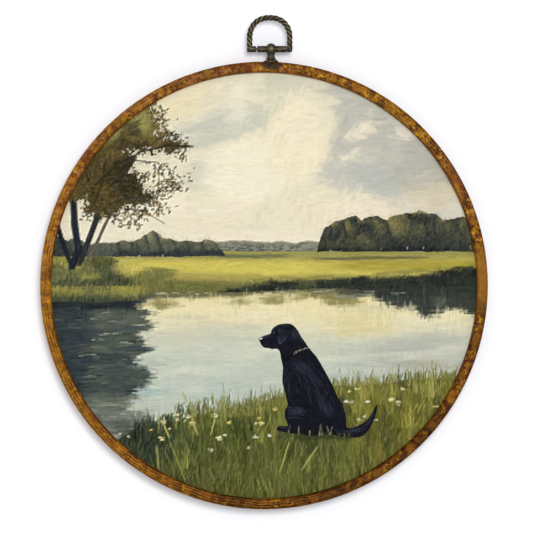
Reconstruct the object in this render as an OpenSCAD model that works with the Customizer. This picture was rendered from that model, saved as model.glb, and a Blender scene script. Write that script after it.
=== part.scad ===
// Round framed picture for a wall: a turned wooden ring holds a printed canvas on a board,
// and a twisted metal bail on a ball post hangs it from a nail.
// The ring's axis runs along Y. The origin is the ring's centre on the wall plane,
// +Z is up and the picture faces -Y.

/* [Ring] */
// Outside diameter of the ring
ring_d = 254; // [200:1:320]
// Width of the ring's face
face_w = 6.1; // [5.6:0.1:12]
// Depth of the ring from front to back
ring_t = 12; // [11:0.5:20]
// How far the lip reaches over the picture
lip_lap = 2.2; // [1.5:0.1:4]
// Thickness of the lip in front of the picture
lip_t = 4; // [3:0.1:6]

/* [Picture] */
// Thickness of the printed canvas
canvas_t = 0.6; // [0.3:0.1:1.2]
// Thickness of the board behind the canvas
board_t = 4.4; // [3:0.1:8]

/* [Hanger] */
// Distance of the hanger to the right of the ring's centre line
hanger_x = 3.9; // [0:0.1:6]
// Height of the bail's pivot above the ring
pivot_h = 7.4; // [6:0.1:9]
// Outside width of the bail
bail_w = 26.1; // [24:0.1:30]
// Height of the bail above its pivot
bail_h = 19.5; // [17:0.1:26]
// Diameter of the bail's bar
bar_d = 3.3; // [2.6:0.1:3.6]

/* [Back] */
// Thickness of the wall pads that stand behind the ring
pad_t = 2; // [1.8:0.1:4]
// Number of turn buttons that hold the backing board
button_count = 4; // [4:1:4]

/* [Hidden] */

ring_r = ring_d / 2;
inner_r = ring_r - face_w;
rebate_r = inner_r + lip_lap;
picture_r = rebate_r - 0.3;
back_t = ring_t - lip_t - canvas_t - board_t;
front_round = 1.8;
inner_round = 1.5;
back_round = 0.8;

// Heights along the ring's axis, from the wall plane to the front
ring_back = pad_t;
ring_front = pad_t + ring_t;
lip_back = ring_front - lip_t;
ring_mid = pad_t + ring_t / 2;

// Turn buttons and their screws
button_r = ring_r - (face_w - lip_lap) / 2;
button_w = 3.4;
button_reach = 7;
button_t = 0.8;
button_gap = 0.05;
screw_r = 0.75;
screw_head_r = 1.5;
screw_head_t = 0.8;
screw_len = 6;
button_hole_r = screw_r + 0.07;

// Wall pads
pad_r = 4.5;
pad_ring_r = inner_r - 9;

// Hanger, measured from its pivot unless it says otherwise
pivot_z = ring_r + pivot_h;
flange_r = 4.4;
flange_top_r = 2.7;
flange_t = 1.9;
neck_r = 2.1;
waist_r = 3;
bead_r = 2.6;
bead_t = 0.6;
ball_r = 3.3;
barrel_r = 1.85;
barrel_left = 7.75;
barrel_right = 8.7;
pin_r = 0.8;
pin_hole_r = pin_r + 0.06;
stub_r = 1.75;
bail_shift = -0.7;
stub_left = barrel_left + 0.6 + bail_shift;
stub_right = barrel_right + 0.12 - bail_shift;
bar_r = bar_d / 2;
arm_x = bail_w / 2 - bar_r;
crown_z = bail_h - bar_r - arm_x;
stud_r = 1;
stud_clear_r = 1.1;
stud_head_r = 1.9;
stud_head_t = 0.9;
stud_top = pivot_h - 2.4;

// Stands a part that is turned about Z on the ring's axis, its +Z towards the front.
module on_axis() {
    rotate([90, 0, 0]) children();
}

// Places a part that is modelled about the hanger's pivot.
module at_pivot() {
    translate([hanger_x, -ring_mid, pivot_z]) children();
}

// Places a part that is modelled about the foot of the hanger, on top of the ring.
module at_hanger_foot() {
    translate([hanger_x, -ring_mid, ring_r]) children();
}

// Removes the corner of a profile and puts a quarter circle in its place.
module rounded_corner(x, y, r, sx, sy) {
    difference() {
        translate([x - (sx > 0 ? r : 0), y - (sy > 0 ? r : 0)]) square(r);
        translate([x - sx * r, y - sy * r]) circle(r = r, $fn = 48);
    }
}

// Section of the ring: its radius across, the ring's axis up.
module ring_section() {
    difference() {
        translate([inner_r, ring_back]) square([face_w, ring_t]);
        translate([inner_r - 1, ring_back - 1]) square([lip_lap + 1, ring_t - lip_t + 1]);
        rounded_corner(ring_r, ring_front, front_round, 1, 1);
        rounded_corner(inner_r, ring_front, inner_round, -1, 1);
        rounded_corner(ring_r, ring_back, back_round, 1, -1);
    }
}

// Places one copy at each turn button's screw, the button's length towards the centre.
module at_button(i) {
    rotate([0, 0, 45 + i * 360 / button_count]) translate([button_r, 0, 0]) children();
}

// Turned ring with a lip, a rebate for the picture, screw holes and the hanger's hole.
module frame_ring() {
    color("peru")
    difference() {
        on_axis()
        difference() {
            rotate_extrude($fn = 240) ring_section();
            for (i = [0 : button_count - 1])
                at_button(i)
                translate([0, 0, ring_back - 1]) cylinder(r = screw_r, h = screw_len + 1, $fn = 32);
        }
        translate([hanger_x, -ring_mid, rebate_r - 2])
        cylinder(r = stud_clear_r, h = face_w + 3, $fn = 32);
        translate([hanger_x, -ring_mid, rebate_r - 2])
        cylinder(r = stud_head_r + 0.15, h = 2 + stud_head_t, $fn = 32);
    }
}

// Printed canvas, a disc laid on the picture board.
module canvas_print() {
    color("darkseagreen")
    on_axis()
    translate([0, 0, lip_back - canvas_t]) cylinder(r = picture_r, h = canvas_t, $fn = 240);
}

// Board that carries the canvas.
module picture_board() {
    color("tan")
    on_axis()
    translate([0, 0, lip_back - canvas_t - board_t])
    cylinder(r = picture_r, h = board_t, $fn = 240);
}

// Board that closes the back, flush with the ring's back face.
module backing_board() {
    color("saddlebrown")
    on_axis()
    translate([0, 0, ring_back]) cylinder(r = picture_r, h = back_t, $fn = 240);
}

// Flat brass button on the ring's back: it turns on its screw, over the board or along the ring.
module turn_button(i) {
    color("goldenrod")
    on_axis()
    at_button(i)
    translate([0, 0, ring_back - button_gap - button_t])
    difference() {
        union() {
            cylinder(r = button_w / 2, h = button_t, $fn = 32);
            translate([-button_reach, -button_w / 2, 0])
            cube([button_reach, button_w, button_t]);
            translate([-button_reach, 0, 0])
            cylinder(r = button_w / 2, h = button_t, $fn = 32);
        }
        translate([0, 0, -1]) cylinder(r = button_hole_r, h = button_t + 2, $fn = 32);
    }
}

// Round-head wood screw of a turn button, its point towards the front, with a cross recess.
module button_screw() {
    head_top = ring_back - 2 * button_gap - button_t;
    difference() {
        union() {
            translate([0, 0, head_top - screw_head_t])
            cylinder(r = screw_head_r, h = screw_head_t, $fn = 32);
            translate([0, 0, head_top - 0.1])
            cylinder(r = screw_r, h = screw_len - 1.5 - head_top + ring_back, $fn = 32);
        }
        for (a = [0, 90])
            rotate([0, 0, a])
            translate([-0.9, -0.18, head_top - screw_head_t - 1]) cube([1.8, 0.36, 1.45]);
    }
}

// The screws of all the turn buttons.
module button_screws() {
    color("darkgoldenrod")
    on_axis()
    for (i = [0 : button_count - 1])
        at_button(i) button_screw();
}

// Round pads on the backing board that keep the ring off the wall.
module wall_pads() {
    color("dimgray")
    on_axis()
    for (a = [0 : 90 : 270])
        rotate([0, 0, a])
        translate([pad_ring_r, 0, 0]) cylinder(r = pad_r, h = pad_t, $fn = 48);
}

// Section of the flange: a low cone on a thin rim, with a flat seat on top for the post.
module flange_section() {
    polygon([
        [0, -0.6],
        [flange_r, -0.6],
        [flange_r, 0.35],
        [flange_top_r + 0.45, flange_t - 0.5],
        [flange_top_r, flange_t - 0.2],
        [flange_top_r, flange_t],
        [0, flange_t]
    ]);
}

// Cone under the post, its base shaped to the ring's rim.
module hanger_flange() {
    color("darkkhaki")
    difference() {
        at_hanger_foot()
        difference() {
            rotate_extrude($fn = 64) flange_section();
            translate([0, 0, -2]) cylinder(r = stud_clear_r, h = flange_t + 4, $fn = 32);
        }
        rotate([90, 0, 0]) cylinder(r = ring_r, h = ring_front + 5, $fn = 240);
    }
}

// Section of the post below its ball: a bead on the flange, then a waisted neck.
module post_section() {
    neck_mid = (flange_t + bead_t + pivot_h - 2.2) / 2;
    difference() {
        translate([0, flange_t]) square([neck_r + 0.3, pivot_h - flange_t - 1.5]);
        translate([neck_r + waist_r, neck_mid]) circle(r = waist_r, $fn = 64);
    }
    translate([0, flange_t]) square([bead_r - bead_t / 2, bead_t]);
    translate([bead_r - bead_t / 2, flange_t + bead_t / 2]) circle(r = bead_t / 2, $fn = 32);
}

// Post on the flange: a beaded foot, a waisted neck, a ball and the barrel across it.
module hanger_post() {
    color("olive")
    difference() {
        union() {
            at_hanger_foot()
            rotate_extrude($fn = 64) post_section();
            at_pivot() sphere(r = ball_r, $fn = 64);
            at_pivot()
            rotate([0, 90, 0])
            translate([0, 0, -barrel_left])
            cylinder(r = barrel_r, h = barrel_left + barrel_right, $fn = 48);
        }
        at_pivot()
        rotate([0, 90, 0])
        translate([0, 0, -barrel_left - 1])
        cylinder(r = pin_hole_r, h = barrel_left + barrel_right + 2, $fn = 32);
        at_hanger_foot() cylinder(r = stud_r, h = stud_top + 0.1, $fn = 32);
    }
}

// Screw from inside the rebate, through the ring and the flange, into the post.
module hanger_screw() {
    head_z = rebate_r - ring_r + 0.05;
    color("gray")
    at_hanger_foot()
    difference() {
        union() {
            translate([0, 0, head_z])
            cylinder(r = stud_head_r, h = stud_head_t - 0.15, $fn = 32);
            translate([0, 0, head_z]) cylinder(r = stud_r, h = stud_top - head_z, $fn = 32);
        }
        translate([-stud_head_r - 1, -0.25, head_z - 1]) cube([2 * stud_head_r + 2, 0.5, 1.4]);
    }
}

// Pin through the barrel, held in both ends of the bail.
module pivot_pin() {
    color("silver")
    at_pivot()
    translate([bail_shift, 0, 0])
    rotate([0, 90, 0])
    translate([0, 0, -stub_left - 3]) cylinder(r = pin_r, h = stub_left + stub_right + 6, $fn = 32);
}

// One end of the bail: the straight arm and the stub, turned in to a distance from the middle.
module bail_end(inner) {
    difference() {
        union() {
            translate([arm_x, 0, -stub_r]) cylinder(r = bar_r, h = crown_z + stub_r, $fn = 48);
            rotate([0, 90, 0])
            translate([0, 0, inner]) cylinder(r = stub_r, h = bail_w / 2 - inner - 0.2, $fn = 48);
        }
        rotate([0, 90, 0])
        translate([0, 0, inner - 1]) cylinder(r = pin_r, h = 4, $fn = 32);
    }
}

// Bail: two arms and a half-circle crown, one round bar.
module bail() {
    color("darkolivegreen")
    at_pivot()
    translate([bail_shift, 0, 0]) {
        bail_end(stub_right);
        rotate([0, 0, 180]) bail_end(stub_left);
        translate([0, 0, crown_z])
        rotate([90, 0, 0])
        rotate_extrude(angle = 180, $fn = 120)
        translate([arm_x, 0]) circle(r = bar_r, $fn = 48);
    }
}

frame_ring();
canvas_print();
picture_board();
backing_board();
turn_button(0);  // turn_button_1
turn_button(1);  // turn_button_2
turn_button(2);  // turn_button_3
turn_button(3);  // turn_button_4
button_screws();
wall_pads();
hanger_flange();
hanger_post();
hanger_screw();
pivot_pin();
bail();
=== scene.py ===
import math

import bmesh
import bpy
import numpy as np
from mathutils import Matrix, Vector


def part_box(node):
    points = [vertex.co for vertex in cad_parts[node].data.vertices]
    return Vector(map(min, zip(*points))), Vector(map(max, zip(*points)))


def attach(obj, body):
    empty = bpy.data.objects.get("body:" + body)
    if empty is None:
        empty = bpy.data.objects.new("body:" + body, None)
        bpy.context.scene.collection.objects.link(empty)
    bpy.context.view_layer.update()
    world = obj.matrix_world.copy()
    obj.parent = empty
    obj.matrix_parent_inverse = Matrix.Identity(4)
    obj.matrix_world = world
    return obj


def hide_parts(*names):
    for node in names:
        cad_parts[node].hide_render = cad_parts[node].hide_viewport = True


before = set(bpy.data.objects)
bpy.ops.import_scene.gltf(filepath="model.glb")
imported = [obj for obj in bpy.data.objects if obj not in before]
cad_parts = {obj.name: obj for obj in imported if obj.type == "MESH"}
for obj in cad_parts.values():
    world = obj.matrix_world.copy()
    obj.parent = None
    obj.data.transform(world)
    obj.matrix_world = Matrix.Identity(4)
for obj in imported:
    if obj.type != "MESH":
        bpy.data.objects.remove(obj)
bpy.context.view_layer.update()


# ---- Shader maths ------------------------------------------------------------
# One output socket of a material's node tree. Arithmetic on it adds Math nodes,
# and node() adds any other node, so each material below reads as plain formulas.
class Shade:
    def __init__(self, tree, out):
        self.tree = tree
        self.out = out

    def node(self, kind, settings=None, sockets=None, out=0):
        made = self.tree.nodes.new("ShaderNode" + kind)
        for name, value in (settings or {}).items():
            setattr(made, name, value)
        for name, value in (sockets or {}).items():
            if isinstance(value, Shade):
                self.tree.links.new(value.out, made.inputs[name])
            else:
                made.inputs[name].default_value = value
        return Shade(self.tree, made.outputs[out])

    def maths(self, operation, *values, clamp=False):
        return self.node("Math", {"operation": operation, "use_clamp": clamp}, dict(enumerate(values)))

    def __add__(self, other):
        return self.maths("ADD", self, other)

    def __sub__(self, other):
        return self.maths("SUBTRACT", self, other)

    def __rsub__(self, other):
        return self.maths("SUBTRACT", other, self)

    def __mul__(self, other):
        return self.maths("MULTIPLY", self, other)

    def __truediv__(self, other):
        return self.maths("DIVIDE", self, other)

    def step(self, low, high):
        return self.node("MapRange", {"interpolation_type": "SMOOTHSTEP"},
                         {"Value": self, "From Min": low, "From Max": high})

    def xyz(self):
        parts = self.node("SeparateXYZ", {}, {"Vector": self})
        return [Shade(self.tree, parts.out.node.outputs[i]) for i in range(3)]

    def point(self, x, y, z):
        return self.node("CombineXYZ", {}, {"X": x, "Y": y, "Z": z})

    def noise(self, vector, scale, detail=3.0, rough=0.5, w=None):
        settings = {"noise_dimensions": "3D" if w is None else "4D"}
        sockets = {"Vector": vector, "Scale": scale, "Detail": detail, "Roughness": rough}
        if w is not None:
            sockets["W"] = w
        return self.node("TexNoise", settings, sockets)

    def mix(self, fac, a, b, blend="MIX"):
        made = self.tree.nodes.new("ShaderNodeMix")
        made.data_type = "RGBA"
        made.blend_type = blend
        for index, value in ((0, fac), (6, a), (7, b)):
            if isinstance(value, Shade):
                self.tree.links.new(value.out, made.inputs[index])
            else:
                made.inputs[index].default_value = value
        return Shade(self.tree, made.outputs[2])

    def bump(self, height, strength, distance, under=None):
        sockets = {"Height": height, "Strength": strength, "Distance": distance}
        if under is not None:
            sockets["Normal"] = under
        return self.node("Bump", {}, sockets)


def colour(red, green, blue):
    """A colour as it looks on a screen, 0 to 255, turned into the renderer's linear values."""
    linear = [c / 255 / 12.92 if c / 255 <= 0.04045 else ((c / 255 + 0.055) / 1.055) ** 2.4
              for c in (red, green, blue)]
    return (*linear, 1.0)


def new_material(name):
    """A material with one Principled surface; returns it, the surface's node and its Object coordinates."""
    mat = bpy.data.materials.new(name)
    mat.use_nodes = True
    surface = mat.node_tree.nodes["Principled BSDF"]
    place = mat.node_tree.nodes.new("ShaderNodeTexCoord")
    return mat, surface, Shade(mat.node_tree, place.outputs["Object"])


def plug(surface, **values):
    """Feeds the surface's sockets from shades or plain numbers."""
    for name, value in values.items():
        socket = surface.inputs[name.replace("_", " ")]
        if isinstance(value, Shade):
            surface.id_data.links.new(value.out, socket)
        else:
            socket.default_value = value


def new_object(name, data):
    """A new object in the scene."""
    made = bpy.data.objects.new(name, data)
    bpy.context.scene.collection.objects.link(made)
    return made


def dress(node_name, mat):
    """Gives a CAD node one material."""
    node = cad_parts[node_name]
    node.data.materials.clear()
    node.data.materials.append(mat)
    return node


# ---- Printed canvas: the painting --------------------------------------------
# A canvas print laid on a board, matte, with the weave showing. The picture on it is
# painted here, stroke by stroke, in millimetres from the ring's centre: x to the right, z up.
front_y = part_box("canvas_print")[0].y
canvas_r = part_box("canvas_print")[1].x * 1000
STEP = 0.36
span = np.arange(-canvas_r - 1, canvas_r + 1, STEP)
PX, PZ = np.meshgrid(span, span)
art = np.zeros(PX.shape + (3,))
rng = np.random.default_rng(7)


def cloudy(x, z, size, seed, octaves=4, stretch=1.0, rough=0.55):
    """Smooth random values from about -1 to 1, with detail down to size / 2**octaves."""
    total, weight = np.zeros(np.shape(x)), 0.0
    for octave in range(octaves):
        cell = size / 2 ** octave
        grid = np.random.default_rng(seed * 31 + octave).uniform(-1, 1, (129, 129))
        u, v = np.asarray(x) / (cell * stretch) + 512, np.asarray(z) / cell + 512
        iu, iv = np.floor(u).astype(int), np.floor(v).astype(int)
        fu, fv = u - iu, v - iv
        fu, fv = fu * fu * (3 - 2 * fu), fv * fv * (3 - 2 * fv)
        a, b = iu % 128, iv % 128
        layer = ((grid[b, a] * (1 - fu) + grid[b, a + 1] * fu) * (1 - fv)
                 + (grid[b + 1, a] * (1 - fu) + grid[b + 1, a + 1] * fu) * fv)
        total, weight = total + layer * rough ** octave, weight + rough ** octave
    return total / weight * 1.6


def soft(value, low, high):
    """0 below low, 1 above high, smooth between; low may be above high."""
    t = np.clip((value - low) / (high - low), 0, 1)
    return t * t * (3 - 2 * t)


def lay(picture, alpha, rgb):
    """Lays a colour over the picture with an alpha map."""
    alpha = np.asarray(alpha)[..., None]
    picture += (np.asarray(rgb, float) - picture) * alpha


def blob(x, z, cx, cz, rx, rz, tilt=0.0):
    """Distance in an ellipse: 0 at its centre, 1 on its edge."""
    c, s = math.cos(math.radians(tilt)), math.sin(math.radians(tilt))
    dx, dz = x - cx, z - cz
    return np.hypot((dx * c + dz * s) / rx, (dz * c - dx * s) / rz)


def daub(picture, x, z, rows):
    """Lays ellipses of colour: strength, ellipse, raggedness, where the edge ends and is full, colour."""
    for strength, ellipse, rough, outer, full, tone in rows:
        lay(picture, strength * soft(blob(x, z, *ellipse) + rough, outer, full), tone)


def plain(x, rgb):
    """One colour at every place."""
    return np.zeros(np.shape(x) + (3,)) + rgb


def between(start, end, t):
    """A place on a straight line, and the line's direction."""
    (xa, za), (xb, zb) = start, end
    return xa + (xb - xa) * t, za + (zb - za) * t, math.atan2(zb - za, xb - xa)


def height_of(x, points):
    """The height of a drawn line above x."""
    xs, zs = zip(*points)
    return np.interp(x, xs, zs)


# The shapes of the landscape, as heights along x.
TREELINE = [(30, 20), (32, 27), (34, 31.5), (37, 34.5), (39.5, 37), (43, 37.5), (47, 39.2), (52, 40),
            (54, 38.5), (55.3, 36), (57, 38), (60, 39.3), (65, 38.6), (68, 37), (70, 36.6), (73, 38.6),
            (77, 40), (82, 41.3), (90, 42), (98, 41), (101, 38.4), (104, 37.4), (107, 38.4), (113, 39.2),
            (125, 38)]
CLUMP = [(-127, 27), (-118, 29), (-112, 25.4), (-106, 26), (-99, 23.6), (-92, 23.6), (-84, 24.6),
         (-80, 26), (-74, 25.6), (-71, 27), (-68, 29.8), (-63.6, 31.2), (-60, 29.6), (-57, 27.4),
         (-53, 26.6), (-47, 25.2), (-42, 26.2), (-36, 25.2), (-32, 26), (-28, 23.8), (-25, 20), (-22, 18)]
BANK = [(-100, -97), (-84, -88), (-72, -80), (-60, -78), (-47, -75), (-34, -72.5), (-22, -70),
        (-12, -68.5), (-2, -66), (8, -63.2), (20, -59), (42, -56.5), (66, -55), (88, -52.5), (112, -52)]
FAR_SHORE = [(-125, -9), (-95, -9.5), (-72, -8.5), (-66, -5), (-20, -4.2), (20, -2.5), (62, -2), (125, 0)]


def sky(x, z):
    """The sky's colour: cream clouds over grey-blue, warmer and paler near the horizon."""
    rgb = plain(x, (229, 220, 193))
    wisp = cloudy(x, z, 34, 1, 5, 1.5)
    fine = cloudy(x, z, 12, 2, 4, 2.2)
    lay(rgb, 0.75 * soft(z, 78, 112) * soft(wisp, -0.7, 0.7), (207, 205, 183))
    daub(rgb, x, z, (
        (0.9, (-52, 104, 34, 15, 25), 0.25 * wisp, 1.0, 0.3, (232, 219, 182)),
        (0.9, (-28, 88, 44, 11, 17), 0.3 * wisp, 1.05, 0.5, (196, 197, 182)),
        (0.8, (-34, 62, 17, 12, 8), 0.3 * fine, 1.1, 0.4, (205, 203, 184)),
        (0.8, (-14, 104, 12, 17, 0), 0.35 * fine, 1.0, 0.2, (234, 229, 206)),
        (0.9, (-8, 66, 34, 24, 22), 0.3 * wisp, 1.05, 0.55, (239, 231, 206)),
        (0.95, (78, 80, 62, 40, -24), 0.22 * wisp, 1.02, 0.72, (186, 185, 174)),
        (0.7, (60, 62, 40, 14, -8), 0.3 * fine, 1.0, 0.4, (181, 183, 176)),
        (0.95, (20, 84, 23, 30, -12), 0.22 * wisp, 1.02, 0.62, (238, 227, 197))))
    for cx, cz, rx, rz, tilt, strength in ((37, 105, 9, 4.5, 25, 0.9), (55, 87, 13, 4.5, 30, 0.9),
                                           (49, 74, 12, 3.2, 38, 0.85), (80, 86, 10, 6.5, 38, 0.7),
                                           (62, 100, 7, 2.4, 55, 0.4), (26, 116, 12, 3, -12, 0.4)):
        lay(rgb, strength * soft(blob(x, z, cx, cz, rx, rz, tilt) + 0.4 * fine, 1.0, 0.35), (233, 224, 199))
    lay(rgb, 0.85 * soft(blob(x, z, 100, 54, 24, 13, 8) + 0.15 * fine, 1.0, 0.75), (214, 206, 181))
    lay(rgb, 0.55 * soft(z, 60, 26) * soft(fine, -1.2, 0.6), (234, 224, 203))
    lay(rgb, 0.5 * soft(blob(x, z, 55, 44, 34, 7, 6) + 0.3 * fine, 1.0, 0.3), (229, 213, 192))
    lay(rgb, 0.35 * soft(fine, 0.15, 1.0), (243, 236, 214))
    lay(rgb, 0.22 * soft(wisp, 0.1, -1.0), (190, 191, 178))
    daub(rgb, x, z, (
        (0.7, (94, 70, 24, 24), 0.25 * fine, 1.0, 0.5, (176, 174, 164)),
        (0.6, (100, 51, 19, 9, 8), 0.2 * fine, 1.0, 0.6, (206, 194, 168)),
        (0.6, (12, 114, 22, 9), 0.3 * fine, 1.0, 0.4, (202, 200, 180))))
    return rgb


def meadow(x, z):
    """The fields beyond the water: yellow-green bands with long flat shadows."""
    rgb = plain(x, (166, 156, 84))
    band = cloudy(x, z, 9, 3, 4, 5.0)
    wave = cloudy(x, z, 20, 4, 3, 3.0)
    lay(rgb, soft(z + 1.5 * band, 15.5, 17.5), (150, 146, 82))
    lay(rgb, 0.9 * soft(np.abs(z - 10.5 + 1.4 * wave), 5.5, 2.0) * soft(x, -85, -70), (205, 191, 92))
    lay(rgb, 0.8 * soft(np.abs(z - 11 + band), 4.5, 1.5) * soft(x, 20, 60), (158, 144, 58))
    lay(rgb, 0.75 * soft(np.abs(z - 15.6 + 0.6 * band), 1.3, 0.3) * soft(np.abs(x - 60), 36, 24),
        (84, 84, 56))
    lay(rgb, 0.75 * soft(np.abs(z - 16.8 + 0.6 * band), 1.5, 0.4) * soft(np.abs(x + 6), 26, 14),
        (90, 95, 70))
    lay(rgb, 0.9 * soft(z + 2.2 * wave + band, 5.0, 0.5), (98, 99, 56))
    lay(rgb, 0.8 * soft(blob(x, z, -57, 6.5, 15, 5) + 0.5 * band, 1.0, 0.4), (104, 105, 62))
    shade = height_of(x, [(-125, -30), (-26, -5), (-10, 0.5), (4, 2.4), (60, 4.4), (92, 7.2), (125, 10)])
    tuft = cloudy(x, z, 7, 28, 4, 1.6)
    shaded = soft(z - shade + 1.6 * tuft, 1.6, -1.6)
    lay(rgb, 0.95 * shaded, (38, 44, 38))
    lay(rgb, 0.65 * shaded * soft(tuft, 0.1, 0.9) * soft(x, 62, 20), (88, 96, 54))
    lay(rgb, 0.8 * shaded * soft(tuft, 0.1, -0.7), (30, 36, 34))
    lay(rgb, 0.7 * soft(np.abs(z - shade - 1.4), 1.8, 0.4) * soft(tuft, -0.2, 0.5), (120, 120, 62))
    mound = height_of(x, [(-125, 20), (-100, 17), (-86, 10), (-72, 2), (-62, -6), (-50, -20), (125, -60)])
    lay(rgb, 0.95 * soft(mound - z + 1.5 * band, -1, 2.5), (100, 101, 64))
    lay(rgb, 0.85 * soft(mound - z + 1.5 * band, -1, 2.5) * soft(wave + 0.6 * tuft, 0.0, 0.7),
        (150, 146, 70))
    lay(rgb, 0.85 * soft(mound - z + 1.5 * band, -1, 2.5) * soft(wave + 0.6 * tuft, -0.1, -0.8),
        (60, 66, 46))
    daub(rgb, x, z, (
        (0.85, (-92, 13.5, 11, 5, -10), 0.4 * tuft, 1.05, 0.5, (70, 74, 48)),
        (0.8, (-100, 5, 9, 3), 0.4 * tuft, 1.0, 0.4, (158, 154, 76))))
    lay(rgb, 0.85 * soft(z + 2 * band, -3, -9) * soft(x, -55, -70), (52, 60, 50))
    return rgb


def water(x, z):
    """The pond: it mirrors the pale sky in the middle and the dark banks at both sides."""
    heights = [-95, -75, -62, -48, -36, -28, -20, -12, -5]
    reds = [178, 190, 180, 188, 196, 208, 224, 232, 216]
    greens = [186, 197, 190, 196, 200, 207, 215, 220, 204]
    blues = [168, 182, 178, 182, 182, 182, 178, 176, 150]
    rgb = np.stack([np.interp(z, heights, band) for band in (reds, greens, blues)], axis=-1)
    ripple = cloudy(x, z, 6, 5, 4, 7.0)
    drip = cloudy(x, z, 30, 6, 4, 0.22)
    calm = cloudy(x, z, 26, 7, 3, 1.6)
    daub(rgb, x, z, (
        (0.8, (54, -22, 30, 10), 0.25 * drip, 1.0, 0.3, (214, 203, 152)),
        (0.6, (46, -14, 60, 7), 0.3 * ripple, 1.0, 0.3, (224, 213, 168)),
        (0.85, (84, -36, 46, 13, 5), 0.3 * calm, 1.05, 0.45, (176, 179, 168)),
        (0.6, (66, -48, 36, 8), 0.3 * ripple, 1.0, 0.4, (170, 176, 168)),
        (0.6, (92, -46, 26, 6), 0.3 * ripple, 1.0, 0.4, (160, 158, 138)),
        (0.75, (-70, -58, 22, 9, -6), 0.35 * calm, 1.0, 0.3, (160, 180, 175)),
        (0.5, (-34, -58, 22, 9), 0.35 * calm, 1.0, 0.3, (170, 186, 178)),
        (0.4, (-22, -34, 20, 16), 0.35 * drip, 1.0, 0.3, (192, 197, 184))))
    lay(rgb, 0.45 * soft(ripple, 0.1, 1.0), (232, 228, 204))
    lay(rgb, 0.25 * soft(ripple, -0.1, -1.0), (160, 168, 158))
    # The left bank's reflection, broken by pale ripples.
    edge = -67 + 9 * ripple + 6 * calm + np.interp(z, [-100, -78, -56, -30, -8], [-22, -14, -6, 2, 3])
    dark = soft(edge - x, -1.5, 2.5) * soft(z + 3 * calm, -84, -58)
    tone = plain(x, (66, 75, 68))
    lay(tone, soft(ripple + 0.3 * calm, -0.1, 0.5), (88, 94, 80))
    lay(tone, soft(calm - 0.3 * ripple, 0.0, 0.8), (44, 54, 56))
    lay(tone, 0.8 * soft(ripple - 0.2 * calm, 0.3, 0.75) * soft(z, -66, -40), (40, 53, 64))
    lay(tone, 0.75 * soft(x + 7 * ripple + 5 * calm, -90, -106), (34, 43, 52))
    lay(tone, 0.95 * soft(np.abs(z + 10.5), 4.5, 1.5), (24, 32, 38))
    rgb += (tone - rgb) * (0.95 * dark)[..., None]
    lay(rgb, 0.6 * soft(blob(x, z, -84, -76, 20, 13, -35) + 0.5 * calm + 0.6 * ripple, 1.0, 0.6),
        (76, 83, 74))
    lay(rgb, 0.6 * soft(blob(x, z, -76, -86, 14, 9, -40) + 0.4 * ripple, 1.0, 0.5), (64, 68, 66))
    # The treeline's reflection on the right, ending in vertical pulls of the brush.
    foot = np.interp(x, [40, 60, 66, 84, 92, 104, 112, 125], [-3, -5, -13, -13.5, -17, -12, -16, -18])
    lay(rgb, 0.95 * soft(z - foot + 3.5 * drip, -1.2, 1.8) * soft(x, 56, 66), (47, 53, 49))
    lay(rgb, 0.6 * soft(blob(x, z, 99, -7, 9, 9) + 0.5 * drip, 1.1, 0.5), (112, 113, 98))
    # The far shore's own reflections in the middle.
    for cx, cz, rx, rz in ((44, -9, 12, 3.8), (8, -8.5, 9, 3.4), (-14, -9.5, 7, 3),
                           (-58, -10.5, 10, 3.6), (27, -6, 14, 2.4)):
        lay(rgb, 0.8 * soft(blob(x, z, cx, cz, rx, rz) + 0.45 * drip, 1.0, 0.4), (124, 119, 68))
    shore = height_of(x, FAR_SHORE)
    lay(rgb, 0.85 * soft(z - shore + 0.9 * ripple + 1.0 * drip, -3.2, -1.0) * soft(x, -75, -60),
        (84, 84, 58))
    lay(rgb, 0.8 * soft(z - shore + 1.2 * ripple + 1.6 * drip, -6.5, -3.0) * soft(x, 30, 62), (42, 48, 46))
    return rgb


def grass(x, z):
    """The near bank: olive greens, dark at the lower left, light among the blades."""
    rgb = plain(x, (93, 96, 46))
    blade = cloudy(x, z, 26, 8, 5, 0.14)
    patch = cloudy(x, z, 24, 9, 4, 0.8)
    lay(rgb, 0.85 * soft(x + 8 * patch, -28, -62), (44, 54, 38))
    lay(rgb, 0.75 * soft(x + 10 * patch, 30, 66), (102, 97, 38))
    lay(rgb, 0.6 * soft(patch, 0.1, 0.9), (128, 124, 58))
    lay(rgb, 0.7 * soft(patch, -0.1, -0.9), (54, 62, 32))
    lay(rgb, 0.55 * soft(blade + 0.4 * patch, 0.2, 0.95), (142, 138, 64))
    lay(rgb, 0.65 * soft(blade, -0.1, -0.9), (50, 58, 32))
    daub(rgb, x, z, (
        (0.5, (-22, -76, 9, 11), 0.4 * blade, 1.0, 0.3, (142, 144, 72)),
        (0.6, (82, -58, 13, 6), 0.4 * blade, 1.0, 0.4, (80, 86, 36)),
        (0.7, (-22, -84, 16, 9, 30), 0.4 * patch, 1.0, 0.4, (64, 74, 34)),
        (0.6, (-54, -88, 13, 10), 0.4 * patch, 1.0, 0.4, (56, 66, 40))))
    lip = z - height_of(x, BANK)
    lay(rgb, 0.5 * soft(np.abs(lip + 5 + 2 * patch), 6, 1.0) * soft(x, -30, 10), (138, 134, 72))
    lay(rgb, 0.5 * soft(z + 3 * patch, -86, -102), (84, 88, 42))
    daub(rgb, x, z, (
        (0.55, (30, -92, 40, 8), 0.4 * patch, 1.0, 0.3, (70, 76, 38)),
        (0.7, (-66, -92, 16, 12, -40), 0.4 * patch, 1.0, 0.5, (42, 50, 42))))
    return rgb


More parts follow.
